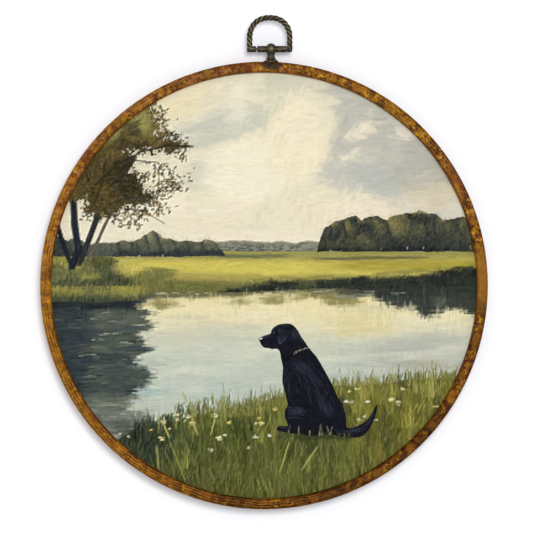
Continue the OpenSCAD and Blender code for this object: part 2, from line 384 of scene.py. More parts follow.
def stroke(x, z, angle, length, width, rgb, load=0.85, bend=0.0, onto=None):
    """One pull of a bristle brush on each picture, centred at x, z; its bristles leave streaks."""
    reach = 0.5 * length + width + abs(bend) * length * length / 4
    c0, c1 = (int((v - span[0]) / STEP) for v in (x - reach, x + reach))
    r0, r1 = (int((v - span[0]) / STEP) for v in (z - reach, z + reach))
    c0, r0, c1, r1 = max(c0, 0), max(r0, 0), min(c1 + 2, len(span)), min(r1 + 2, len(span))
    if c0 >= c1 or r0 >= r1:
        return
    dx, dz = span[None, c0:c1] - x, span[r0:r1, None] - z
    c, s = math.cos(angle), math.sin(angle)
    u, v = dx * c + dz * s, dz * c - dx * s
    v = v - bend * u * u
    hair = BRISTLES[(int(x * 37 + z * 91) % 97 + ((v / width + 1) * 6).astype(int)) % len(BRISTLES)]
    across = np.clip(1.25 - np.abs(v) / (0.5 * width), 0, 1)
    along = np.clip((1.1 - np.abs(u) / (0.5 * length)) * (2.2 + 2 * hair), 0, 1)
    alpha = np.clip(load * across * along * (0.55 + 0.45 * hair), 0, 1)[..., None]
    for target in (art,) if onto is None else onto:
        part = target[r0:r1, c0:c1]
        part += (np.asarray(rgb) - part) * alpha


BRISTLES = np.random.default_rng(3).uniform(0.2, 1.0, 211)


def scatter(count, inside):
    """Random places in the canvas where inside(x, z) is true."""
    x, z = rng.uniform(-canvas_r, canvas_r, (2, count))
    keep = (np.hypot(x, z) < canvas_r) & inside(x, z)
    return x[keep], z[keep]


def brush(count, inside, tones, angle, length, width, vary=7, load=0.85, bend=0.0, spread=0.15, onto=None):
    """Covers a region with strokes, each in the region's own colour at its middle, a little off."""
    x, z = scatter(count, inside)
    rgb = tones(x, z) + rng.normal(0, 1, (len(x), 1)) * vary + rng.normal(0, vary * 0.25, (len(x), 3))
    angles = (angle(x, z) if callable(angle) else np.full(len(x), angle)) + rng.normal(0, spread, len(x))
    lengths, widths = (v * rng.uniform(0.6, 1.5, len(x)) for v in (length, width))
    bends = rng.normal(0, 1, len(x)) * bend
    for i in range(len(x)):
        stroke(x[i], z[i], angles[i], lengths[i], widths[i], rgb[i], load, bends[i], onto)


# Underpainting, then the strokes, from the far distance to the near bank.
horizon = 19.2 + 0.4 * cloudy(PX, PZ, 12, 11)
art[:] = sky(PX, PZ)


def sky_angle(x, z):
    turned = 1.15 * (cloudy(x, z, 18, 13) > 0.1)
    return 0.35 * cloudy(x, z, 40, 12, 3) + np.where(np.hypot(x - 20, z - 70) < 42, turned, 0)


brush(5200, lambda x, z: z > 18, sky, sky_angle, 9.0, 2.6, vary=4, load=0.8)
brush(5200, lambda x, z: z > 18, sky, sky_angle, 6.0, 1.5, vary=5, load=0.6)

# Far trees along the horizon, the clump on the left and the long wood on the right.
far_top = 25.0 + 1.2 * cloudy(PX, PZ * 0, 9, 14)
lay(art, 0.85 * soft(far_top - PZ, -0.3, 0.6) * soft(PZ, 18.5, 19.3), (118, 121, 106))


def far_trees(x, z):
    rgb = plain(x, (101, 105, 91))
    lay(rgb, soft(z, 23.5, 20.0), (78, 84, 78))
    bushes = cloudy(x, 2 * z, 7, 38)
    lay(rgb, 0.7 * soft(bushes, 0.1, 0.8) * soft(z, 23.5, 21), (66, 74, 66))
    lay(rgb, 0.7 * soft(bushes, -0.1, -0.8), (134, 136, 112))
    return rgb


brush(26000, lambda x, z: (z > 19) & (z < 24) & (x > -100) & (x < 40), far_trees, 0.0, 2.2, 1.0, vary=8)

# The fields, in long level strokes.
lay(art, soft(PZ, horizon + 0.5, horizon - 0.3), (120, 118, 66))
flat = soft(PZ, horizon + 0.4, horizon - 0.4)[..., None]
art += (meadow(PX, PZ) - art) * flat
brush(9000, lambda x, z: (z < 18.2) & (z > -8), meadow, 0.0, 8.0, 1.2, vary=6, load=0.8, spread=0.06)
brush(5000, lambda x, z: (z < 17.6) & (z > -8), meadow, 0.0, 4.5, 0.7, vary=10, load=0.6, spread=0.08)


# Scrub on the near side of the fields and on the left mound.
def shore_scrub(x, z):
    top = 3 + 5 * cloudy(x, x * 0, 18, 18) + np.where(x < -60, 12, 0)
    return (z < 6) & (z > -9) & (x < 40) & (z < top)


def mound_scrub(x, z):
    return (z < 17 - 0.2 * (x + 100)) & (z > -9) & (x < -52 + 22 * cloudy(x, z, 16, 33))


def bank_scrub(x, z):
    return (z > -4) & (z < 3 + 0.06 * x + 2.2 * cloudy(x, x * 0, 9, 31)) & (x > -10)


brush(9000, shore_scrub, meadow, 1.5, 3.0, 0.9, vary=18, load=0.6, spread=0.4)
brush(34000, mound_scrub, meadow, 1.5, 3.2, 0.9, vary=20, load=0.6, spread=0.35)
brush(16000, bank_scrub, meadow, 1.5, 2.6, 0.9, vary=16, load=0.65, spread=0.35)

# The water, drawn level, then pulled down here and there.
shore = height_of(PX, FAR_SHORE) + 0.7 * cloudy(PX, PZ, 9, 19)
wet = soft(PZ - shore, 0.4, -0.5)[..., None]
art += (water(PX, PZ) - art) * wet


def in_water(x, z):
    return (z < height_of(x, FAR_SHORE) - 0.8) & (z > height_of(x, BANK) - 8)


brush(13000, in_water, water, 0.0, 8.5, 1.3, vary=4, load=0.75, spread=0.05)
brush(2600, in_water, water, math.pi / 2, 7.0, 1.6, vary=4, load=0.4, spread=0.05)
brush(9000, lambda x, z: in_water(x, z) & (x < -58), water, 0.0, 5.0, 0.9, vary=17, load=0.75, spread=0.06)
brush(5000, lambda x, z: in_water(x, z) & (x > 55) & (z > -22), water, math.pi / 2, 5.5, 0.9, vary=13,
      load=0.6, spread=0.05)
brush(4200, lambda x, z: in_water(x, z) & (z > -20), water, math.pi / 2, 4.0, 0.9, vary=9,
      load=0.5, spread=0.08)
# Bright ripples.
for x, z, length in ((-88, -27.5, 9), (-101, -39.8, 12), (-80, -33, 7), (-60, -4.6, 14), (-44, -4.2, 12),
                     (-34, -4.4, 8), (-94, -31, 6), (-72, -47, 8), (-98, -52, 7), (-62, -33, 5),
                     (-84, -19, 10), (-70, -22.5, 12), (78, -3.6, 10), (60, -4.0, 12), (30, -3.0, 18),
                     (98, -47.5, 8), (104, -46, 5), (12, -4.2, 12)):
    for k in range(3):
        stroke(x + rng.normal(0, length * 0.4), z + rng.normal(0, 0.6), rng.normal(0, 0.05),
               length * rng.uniform(0.3, 0.7), 0.6, (206, 205, 184), 0.5)


def wood(x, z):
    """The long wood: rounded crowns lit from above, almost black at their feet."""
    rgb = plain(x, (80, 80, 60))
    crown = cloudy(x, z, 11, 15, 3)
    lean = (x + 0.3 * z + 11 * cloudy(x, z * 0, 26, 29, 3) + 4 * crown) / 12
    side = lean - np.floor(lean)
    mass = cloudy(x, z, 15, 37, 3, 0.8)
    lay(rgb, 0.85 * soft(z + 4 * crown, 26, 34) * soft(side, 0.85, 0.15), (134, 126, 82))
    lay(rgb, 0.85 * soft(side, 0.6, 0.95) * soft(z, 22, 30), (40, 46, 42))
    lay(rgb, 0.7 * soft(mass, 0.1, 0.8), (116, 108, 70))
    lay(rgb, 0.75 * soft(mass, -0.1, -0.8), (48, 53, 49))
    lay(rgb, 0.9 * soft(z + 4 * crown, 30, 21), (44, 49, 46))
    lay(rgb, 0.85 * soft(z + crown, 23, 19.5), (24, 29, 31))
    lay(rgb, 0.5 * soft(x, 96, 112), (72, 74, 62))
    return rgb


def clump(x, z):
    rgb = plain(x, (88, 92, 76))
    crown = cloudy(x, z, 8, 16, 3)
    lean = (x + 0.3 * z + 2.5 * cloudy(x, z * 0, 15, 30, 2)) / 8.5
    side = lean - np.floor(lean)
    lay(rgb, soft(z + 2 * crown, 22, 28) * soft(side, 0.8, 0.2), (134, 130, 96))
    lay(rgb, 0.7 * soft(side, 0.6, 0.95), (56, 62, 60))
    lay(rgb, 0.9 * soft(z + 1.5 * crown, 21.5, 18), (44, 51, 54))
    lay(rgb, 0.6 * soft(np.abs(x + 94), 12, 5), (92, 98, 88))
    lay(rgb, 0.7 * soft(x, -106, -112), (52, 60, 58))
    return rgb


def under(points, foot):
    """The ground of a row of trees, and a little way round it."""
    left, right = points[0][0] - 2, points[-1][0] + 2
    return lambda x, z: (z > foot - 2) & (z < height_of(x, points) + 2.5) & (x > left) & (x < right)


# What stands in front has a picture of its own, which runs a little past its outline,
# so that the outline stays crisp: the woods, the old tree's crown and the near bank.
front = art.copy()
for trees, points, foot in ((clump, CLUMP, 16.3), (wood, TREELINE, 19.2)):
    front[:] = np.where(under(points, foot)(PX, PZ)[..., None], trees(PX, PZ), front)
brush(60000, under(CLUMP, 16.3), clump, 1.3, 1.9, 1.1, vary=9, load=0.85, spread=0.7, onto=(front,))
brush(80000, under(TREELINE, 20.0), wood, 1.35, 2.2, 1.2, vary=10, load=0.85, spread=0.7, onto=(front,))
brush(16000, under(TREELINE, 20.0), wood, 1.5, 1.6, 1.0, vary=17, load=0.5, spread=0.8, onto=(front,))
# Small posts, gates and sheep, as pale ticks, along the foot of the trees.
for x, z, tall in ((-81, 16.3, 0.9), (-78, 16.5, 0.8), (-74.5, 16.2, 0.7), (-71, 16.6, 1.0),
                   (-67, 16.2, 0.8), (-63.5, 16.5, 0.9), (-60.5, 16.3, 0.8), (-57.5, 16.8, 1.4),
                   (-53, 16.4, 0.8), (38, 19.8, 1.5), (43.8, 19.6, 1.2), (66.4, 20.4, 1.7),
                   (81.3, 21.3, 1.8), (90.5, 21.4, 1.6), (117.4, 21.6, 3.2)):
    stroke(x, z, math.pi / 2 + rng.normal(0, 0.1), tall * 0.9, 0.6, (206, 202, 180), 0.7, onto=(art, front))

# The old tree on the left: trunks, boughs, and foliage from dark inside to loose leaves outside.
for points, thick, rgb in (
        ([(-110, 13), (-114, 23), (-118, 36), (-121, 46)], 2.6, (30, 35, 42)),
        ([(-108.5, 12), (-105.5, 20), (-107.5, 34), (-108.5, 52), (-106, 62)], 3.6, (28, 34, 44)),
        ([(-104, 14), (-99.5, 26), (-95, 38), (-90, 50), (-82, 60), (-75, 71)], 3.0, (44, 46, 48)),
        ([(-99, 17), (-95, 24), (-91, 33), (-86, 43)], 1.6, (92, 88, 74))):
    for start, end in zip(points, points[1:]):
        for t in np.linspace(0, 1, 7):
            x, z, angle = between(start, end, t)
            for side in (-0.25, 0.0, 0.25):
                stroke(x + side * thick, z, angle, 6.5, thick * 0.65, np.array(rgb) + rng.normal(0, 3),
                       0.95, onto=(art, front))
        for t in rng.uniform(0, 1, 9):
            x, z, angle = between(start, end, t)
            stroke(x + rng.uniform(-0.4, 0.3) * thick, z, angle, 3.5, 0.6,
                   np.array(rgb) + rng.choice((-16, 18, 30)), 0.5, onto=(art, front))

CROWN = [(-112, 68, 18, 17), (-98, 64, 16, 14), (-100, 79, 16, 14), (-85, 68, 14, 11), (-84, 85, 19, 12),
         (-71, 91, 12, 10), (-67, 82, 18, 7.5), (-56, 80, 12, 4.5), (-79, 57, 12, 9), (-88, 52, 15, 10),
         (-108, 57, 13, 9), (-74, 50, 9, 5), (-92, 44, 10, 4)]
SPRAYS = [(-47, 80, 7, 3.6), (-54, 86, 6, 3), (-58, 95, 6, 4.5), (-48, 74, 5, 3), (-58, 66, 9, 4),
          (-54, 58, 10, 5), (-62, 53, 9, 5), (-62, 46, 8, 4.5), (-70, 42, 9, 4.5), (-82, 40, 10, 4.5),
          (-64, 101, 5, 3), (-97, 40, 8, 4), (-70, 61, 6, 4), (-49, 56, 6, 2.5), (-58, 43, 4, 2),
          (-75, 35, 6, 3)]


def crown_depth(x, z):
    """How deep a place lies in the tree's crown: above 0 inside, 0 at the edge."""
    return np.max([1 - blob(x, z, *part) for part in CROWN], axis=0) + 0.22 * cloudy(x, z, 13, 20, 4)


def foliage(x, z):
    """The crown's colours: olive where the light comes through, brown and nearly black inside."""
    rgb = plain(x, (90, 78, 42))
    mass = cloudy(x, z, 15, 21, 4)
    lay(rgb, soft(z + 5 * mass - 0.15 * (x + 80), 76, 90), (146, 137, 80))
    lay(rgb, 0.5 * soft(mass, 0.2, 0.9), (112, 96, 48))
    lay(rgb, 0.55 * soft(z, 80, 66) * soft(x, -110, -98), (64, 56, 32))
    lay(rgb, 0.75 * soft(blob(x, z, -90, 59, 9, 11, -20) + 0.35 * mass, 1.0, 0.2), (128, 104, 44))
    lay(rgb, 0.6 * soft(x, -70, -54), (74, 62, 36))
    lay(rgb, 0.7 * soft(blob(x, z, -84, 92, 14, 7, 30) + 0.4 * mass, 1.0, 0.2), (168, 160, 100))
    lay(rgb, 0.8 * soft(mass - 0.02 * (x + 80), -0.1, -0.9), (56, 52, 34))
    daub(rgb, x, z, (
        (0.8, (-80, 63, 20, 13, 20), 0.35 * mass, 1.0, 0.3, (50, 46, 30)),
        (0.6, (-84, 79, 24, 4.5, 5), 0.4 * mass, 1.0, 0.3, (62, 56, 34))))
    return rgb


in_crown = (soft(crown_depth(PX, PZ), -0.35, -0.25) * (PX < -38))[..., None]
front += (foliage(PX, PZ) - front) * in_crown


def leaf_angle(x, z):
    return np.arctan2(z - 55, x + 100) + 0.5 * cloudy(x, z, 9, 22)


brush(50000, lambda x, z: (x < -35) & (crown_depth(x, z) > -0.25), foliage, leaf_angle, 3.6, 1.2, vary=13,
      load=0.85, spread=0.45, onto=(front,))
brush(26000, lambda x, z: (x < -35) & (crown_depth(x, z) > -0.2), foliage, leaf_angle, 1.8, 0.9, vary=16,
      load=0.8, spread=0.9, onto=(front,))
brush(9000, lambda x, z: (x < -35) & (np.abs(crown_depth(x, z) + 0.02) < 0.1), foliage, leaf_angle, 1.8,
      0.9, vary=14, load=0.9, spread=0.8)
for cx, cz, rx, rz in SPRAYS:
    count = int(rx * rz * 1.3)
    xs, zs = cx + rng.normal(0, rx * 0.55, count), cz + rng.normal(0, rz * 0.55, count)
    for x, z in zip(xs, zs):
        leaf_tones = ((66, 58, 36), (66, 58, 36), (120, 104, 58), (52, 58, 52))
        tone = np.array(leaf_tones[rng.integers(4)]) + rng.normal(0, 9)
        stroke(x, z, rng.uniform(0, math.pi), rng.uniform(1.0, 2.8), rng.uniform(0.7, 1.4), tone, 0.95,
               onto=(art, front))
# Boughs and twigs over the foliage.
for points, thick, rgb in (([(-95, 58), (-84, 68), (-70, 76), (-55, 79.5), (-42, 79)], 1.5, (44, 38, 26)),
                           ([(-84, 68), (-74, 71), (-62, 70)], 0.9, (60, 52, 34)),
                           ([(-70, 76), (-60, 83), (-52, 87)], 0.8, (66, 58, 36)),
                           ([(-96, 48), (-92, 58), (-90, 70)], 1.6, (52, 42, 26)),
                           ([(-88, 46), (-76, 50), (-64, 50), (-52, 57)], 0.8, (50, 46, 34)),
                           ([(-80, 44), (-68, 42), (-58, 36)], 0.7, (54, 50, 38))):
    for start, end in zip(points, points[1:]):
        for t in np.linspace(0, 1, 6):
            stroke(*between(start, end, t), 4.0, thick, rgb, 0.8, onto=(art, front))

# The near bank: long blades, darker behind and lighter in front.
front[:] = np.where((PZ < height_of(PX, BANK) + 7)[..., None], grass(PX, PZ), front)
art += (grass(PX, PZ) * 0.92 - art) * soft(PZ - height_of(PX, BANK), 0.8, -2.4)[..., None]


def on_bank(x, z):
    return z < height_of(x, BANK) + 5.0


def blade_angle(x, z):
    return math.pi / 2 + 0.3 * cloudy(x, z, 16, 24)


brush(17000, on_bank, grass, blade_angle, 5.5, 1.1, vary=12, load=0.85, bend=0.012, spread=0.16,
      onto=(front,))
brush(10000, on_bank, grass, blade_angle, 8.0, 0.7, vary=24, load=0.65, bend=0.012, spread=0.2,
      onto=(front,))


def pale_blades(x, z):
    return grass(x, z) + (48, 44, 22)


brush(2600, lambda x, z: on_bank(x, z) & (x > -60), pale_blades, blade_angle, 7.0, 0.6, vary=12, load=0.6,
      bend=0.02, spread=0.25, onto=(front,))
# Tufts: fans of long blades, light over dark.
for x, z in zip(rng.uniform(-76, 104, 150), rng.uniform(-112, -60, 150)):
    if z > height_of(x, BANK) - 3:
        continue
    tone = grass(np.array([x]), np.array([z]))[0]
    light = rng.uniform(-22, 46)
    for k in range(rng.integers(6, 13)):
        lean, tall = rng.normal(0, 0.28), rng.uniform(5, 12)
        stroke(x + rng.normal(0, 1.2) - math.sin(lean) * tall * 0.5, z + math.cos(lean) * tall * 0.5,
               math.pi / 2 + lean, tall, rng.uniform(0.6, 1.1), tone + light * np.array((1, 0.95,
                       0.5)) + rng.normal(0, 8), 0.8,
               lean * 0.02, onto=(front,))
# Blades and seed heads that stand up over the water.
edge_x = rng.uniform(-74, 112, 900)
for x in edge_x:
    tall = rng.uniform(1.5, 5.5) * (1.6 if -50 < x < -20 or rng.random() < 0.06 else 0.8)
    root = height_of(x, BANK) - 0.5
    tone = grass(np.array([x]), np.array([root - 3]))[0] + rng.normal(0, 14)
    stroke(x, root + tall / 2, math.pi / 2 + rng.normal(0, 0.2), tall * 1.3, rng.uniform(0.4, 0.8), tone,
           0.7, rng.normal(0, 0.02), onto=(art, front))

for x, root, tall, lean in ((-22, -74, 16, 0.06), (-28, -75, 12, 0.12), (-21, -74, 13, -0.12),
                            (-18, -73, 9, -0.35), (77, -60, 13, 0.05), (79, -60, 9, -0.1),
                            (95, -58, 13, -0.03), (97, -58, 10, 0.1), (-40, -78, 12, 0.15),
                            (-50, -80, 9, -0.1), (62, -60, 8, 0.1), (-66, -82, 8, 0.1),
                            (40, -60, 6, -0.1), (88, -60, 9, 0.02), (-60, -82, 10, -0.05)):
    tone = np.array((138, 140, 74) if rng.random() < 0.5 else (70, 80, 50)) + rng.normal(0, 8)
    for t in np.linspace(0, 1, 5):
        stroke(x - math.sin(lean) * tall * t, root + math.cos(lean) * tall * t, math.pi / 2 + lean,
               tall * 0.4, 0.9 - 0.35 * t, tone, 0.85, onto=(art, front))
# Flowers and seed heads in the grass.
for x, z, size, rgb in ((-82, -84, 0.9, (206, 200, 176)), (-77, -86, 0.8, (200, 196, 170)),
                        (-64, -82, 1.1, (214, 176, 88)), (-56.8, -77.4, 1.7, (224, 210, 160)),
                        (-53.5, -81.5, 0.9, (206, 196, 150)), (-57.5, -87, 1.5, (226, 208, 152)),
                        (-50, -73.5, 1.4, (220, 206, 158)), (-49.4, -76, 1.2, (216, 202, 150)),
                        (-42.4, -74.5, 1.3, (226, 214, 170)), (-41, -78.5, 1.4, (222, 210, 164)),
                        (-45, -77, 0.8, (206, 200, 170)), (-27.4, -74, 1.1, (236, 228, 210)),
                        (-19.7, -78.3, 1.4, (222, 200, 100)), (-25.8, -87, 1.7, (226, 214, 178)),
                        (-22.6, -85.4, 1.2, (226, 214, 178)), (-29.8, -93.4, 1.3, (216, 208, 176)),
                        (-2.3, -75.4, 1.1, (204, 192, 110)), (-1.4, -78, 1.7, (208, 200, 134)),
                        (-4.6, -78.4, 1.0, (200, 194, 126)), (5.8, -70.4, 1.2, (224, 206, 112)),
                        (-4.7, -85.8, 1.2, (206, 202, 170)), (3, -85.4, 1.2, (234, 230, 208)),
                        (-8.6, -92.3, 1.2, (214, 206, 160)), (46.8, -65.9, 1.3, (238, 234, 216)),
                        (49.4, -66.2, 0.8, (230, 226, 200)), (59.4, -66, 1.3, (228, 220, 186)),
                        (48, -60.2, 1.0, (214, 206, 122)), (53, -58.6, 1.1, (206, 198, 130)),
                        (72.6, -65, 1.9, (216, 204, 156)), (76, -66.6, 1.7, (212, 200, 150)),
                        (79, -59, 1.4, (192, 186, 124)), (98, -68.4, 1.2, (198, 186, 130)),
                        (54, -76, 1.3, (196, 194, 150)), (57, -74.6, 1.1, (200, 196, 156)),
                        (63.5, -76.4, 0.9, (196, 190, 140)), (-92, -92, 0.9, (190, 190, 170))):
    for k in range(4):
        stroke(x + rng.normal(0, size * 0.5), z + rng.normal(0, size * 0.3), rng.uniform(-0.4, 0.6),
               size * 1.5, size * 0.7, np.array(rgb) + rng.normal(0, 6), 0.85, onto=(art, front))
for start, end in (((-53.5, -89), (-44.7, -111)), ((-61, -92), (-60, -104)), ((-46, -61.5), (-44, -65.5)),
                   ((-57, -79), (-54, -86)), ((-41, -76), (-38, -84)), ((14, -90), (9, -106)),
                   ((30, -92), (22, -104)), ((-28, -76), (-30, -84))):
    for t in np.linspace(0, 1, 24):
        stroke(*between(start, end, t), 3.5, 1.0, (168, 166, 98), 0.3, onto=(art, front))


def outline(points, steps=6):
    """A smooth closed line through drawn points."""
    loop = np.array(points, float)
    before, after, second = np.roll(loop, 1, 0), np.roll(loop, -1, 0), np.roll(loop, -2, 0)
    t = np.linspace(0, 1, steps, endpoint=False)[None, :, None]
    a, b, c, d = before[:, None], loop[:, None], after[:, None], second[:, None]
    square, cube = 2 * a - 5 * b + 4 * c - d, 3 * b - 3 * c + d - a
    curve = 0.5 * (2 * b + (c - a) * t + square * t ** 2 + cube * t ** 3)
    return curve.reshape(-1, 2)


def depth_in(x, z, loop):
    """Distance from a closed line in millimetres, above 0 inside it."""
    x, z = np.asarray(x, float), np.asarray(z, float)
    best, odd = np.full(x.shape, 1e9), np.zeros(x.shape, bool)
    for (xa, za), (xb, zb) in zip(loop, np.roll(loop, -1, 0)):
        dx, dz = xb - xa, zb - za
        t = np.clip(((x - xa) * dx + (z - za) * dz) / (dx * dx + dz * dz + 1e-12), 0, 1)
        best = np.minimum(best, np.hypot(x - xa - t * dx, z - za - t * dz))
        cross = (za > z) != (zb > z)
        odd ^= cross & (x < xa + (z - za) * dx / (dz if dz else 1e-12))
    return np.where(odd, best, -best)


# The dog: a black retriever that sits on the bank and looks over the water.
DOG = outline([(-3.1, -30.3), (-2.0, -29.3), (0.5, -28.4), (3.6, -27.3), (4.3, -25.2), (5.9, -23.5),
               (8.2, -22.3), (11.3, -21.7), (14.7, -21.8), (17.1, -23.1), (19.1, -25.5), (21.0, -28.8),
               (23.0, -31.7), (25.0, -34.7), (27.7, -38.0), (30.2, -41.1), (32.9, -45.6), (35.6, -50.4),
               (38.8, -56.4), (41.4, -62.4), (44.4, -67.6), (46.1, -72.6), (46.8, -77.6), (47.2, -80.6),
               (50.4, -80.8), (54.0, -79.4), (58.0, -76.8), (61.4, -72.4), (64.0, -67.4), (64.0, -71.6),
               (62.2, -77.0), (59.4, -82.4), (55.2, -85.8), (48.7, -86.5), (42.2, -85.7), (38.2, -84.8),
               (30.1, -85.6), (24.4, -85.2), (19.6, -84.6), (12.3, -83.6), (8.2, -82.8), (7.0, -81.2),
               (9.0, -79.8), (13.4, -79.9), (12.6, -77.0), (11.7, -73.6), (12.0, -70.6), (13.4, -68.0),
               (12.4, -63.0), (11.4, -58.9), (10.4, -54.9), (10.5, -50.2), (10.7, -46.8), (10.1, -43.6),
               (9.6, -41.4), (9.2, -38.8), (8.4, -36.8), (6.8, -35.9), (4.8, -36.2), (2.8, -35.7),
               (0.1, -35.4), (-1.5, -33.9), (-2.5, -31.8)])
EAR = outline([(9.6, -24.0), (12.4, -24.5), (13.9, -26.9), (12.4, -29.8), (10.7, -31.6), (9.1, -33.4),
               (8.1, -32.6), (7.9, -28.6), (8.2, -25.4)])
HAUNCH = outline([(13.6, -69.5), (18.5, -68.2), (25.5, -69.5), (30.5, -74.5), (31.0, -80.0),
                  (27.0, -84.0), (18.0, -83.0), (13.2, -79.0), (12.4, -73.5)])


def coat(x, z):
    """The dog's coat: blue-black, with cool light along the back, the shoulder and the haunch."""
    rgb = plain(x, (16, 18, 28))
    sheen = cloudy(x, z, 9, 25, 3)
    daub(rgb, x, z, (
        (0.42, (33, -66, 12, 4.6, -58), 0.3 * sheen, 1.05, 0.2, (54, 58, 74)),
        (0.5, (27, -52, 12, 5, -52), 0.3 * sheen, 1.05, 0.2, (50, 54, 70)),
        (0.4, (19, -45, 7, 4, -30), 0.3 * sheen, 1.05, 0.2, (46, 49, 63)),
        (0.55, (18.5, -71.5, 5.5, 2.8, 8), 0.3 * sheen, 1.05, 0.2, (62, 67, 88)),
        (0.35, (14, -56, 2.5, 8, 0), 0.3 * sheen, 1.05, 0.2, (44, 48, 60)),
        (0.5, (50, -82.6, 9, 1.6, 4), 0.3 * sheen, 1.05, 0.2, (64, 70, 90)),
        (0.4, (60, -76, 5, 1.4, 58), 0.3 * sheen, 1.05, 0.2, (54, 60, 78)),
        (0.35, (17.5, -28, 4, 5, -35), 0.3 * sheen, 1.05, 0.2, (48, 52, 68)),
        (0.45, (1.8, -29.2, 3.4, 1.1, 18), 0.2 * sheen, 1.05, 0.2, (60, 64, 82))))
    lay(rgb, 0.55 * soft(depth_in(x, z, EAR), 0.0, 0.5), (34, 38, 52))
    lay(rgb, 0.5 * soft(np.abs(depth_in(x, z, EAR) - 0.5), 0.5, 0.1) * soft(x, 12.5, 9), (74, 80, 100))
    lay(rgb, 0.8 * soft(np.abs(depth_in(x, z, EAR) + 0.4), 0.6, 0.1), (8, 9, 14))
    lay(rgb, 0.55 * soft(np.abs(depth_in(x, z, HAUNCH) + 0.2), 0.8, 0.1), (8, 9, 14))
    lay(rgb, 0.6 * soft(z, -80, -85) * soft(x, 50, 46), (12, 14, 18))
    return rgb


def coat_angle(x, z):
    return np.where(z > -36, -0.7, np.where(x > 46, 0.5, -1.05)) + 0.5 * cloudy(x, z, 10, 26)


dog_art = coat(PX, PZ)
dx, dz = rng.uniform(-5, 66, 15000), rng.uniform(-89, -20, 15000)
tones = coat(dx, dz) + rng.normal(0, 4.5, (15000, 1))
angles = coat_angle(dx, dz) + rng.normal(0, 0.25, 15000)
for i in np.flatnonzero(depth_in(dx, dz, DOG) > -1):
    stroke(dx[i], dz[i], angles[i], 3.2, 0.75, tones[i], 0.6, onto=(dog_art,))
stroke(5.3, -26.9, 0.3, 1.3, 0.8, (78, 84, 104), 0.8, onto=(dog_art,))
for k in range(3):
    stroke(-1.9, -30.1, 0.6, 1.3, 1.2, (214, 218, 226), 0.9, onto=(dog_art,))
# Blades of grass in front of the dog's seat and paws.
for x in rng.uniform(6, 50, 46):
    z = rng.uniform(-88, -84.5)
    tone = np.array((74, 78, 42)) + rng.normal(0, 16)
    stroke(x, z, math.pi / 2 + rng.normal(0, 0.25), rng.uniform(2.5, 5), 0.7, tone, 0.8,
           rng.normal(0, 0.02), onto=(dog_art,))
for x, tall, lean in ((14.2, 7, -0.1), (19.8, 6, 0.05), (31.8, 8, -0.08), (32.8, 6, 0.1),
                      (36.6, 6.5, 0.3), (38, 6, -0.2), (26, 3, 0.1)):
    stroke(x, -84.6 + tall * 0.25, math.pi / 2 + lean, tall, 0.75, (150, 148, 112), 0.85, onto=(dog_art,))
# Its shade on the grass.
lay(front, 0.6 * soft(blob(PX, PZ, 34, -86, 28, 3) + 0.4 * cloudy(PX, PZ, 4, 27), 1.1, 0.3) * (PZ < -79),
    (44, 52, 30))


def near_lines(x, z, lines):
    """Distance from the nearest of the drawn open lines."""
    best = np.full(np.shape(x), 5.0)
    for line in lines:
        for (xa, za), (xb, zb) in zip(line, line[1:]):
            dx, dz = xb - xa, zb - za
            t = np.clip(((x - xa) * dx + (z - za) * dz) / (dx * dx + dz * dz), 0, 1)
            best = np.minimum(best, np.hypot(x - xa - t * dx, z - za - t * dz))
    return best


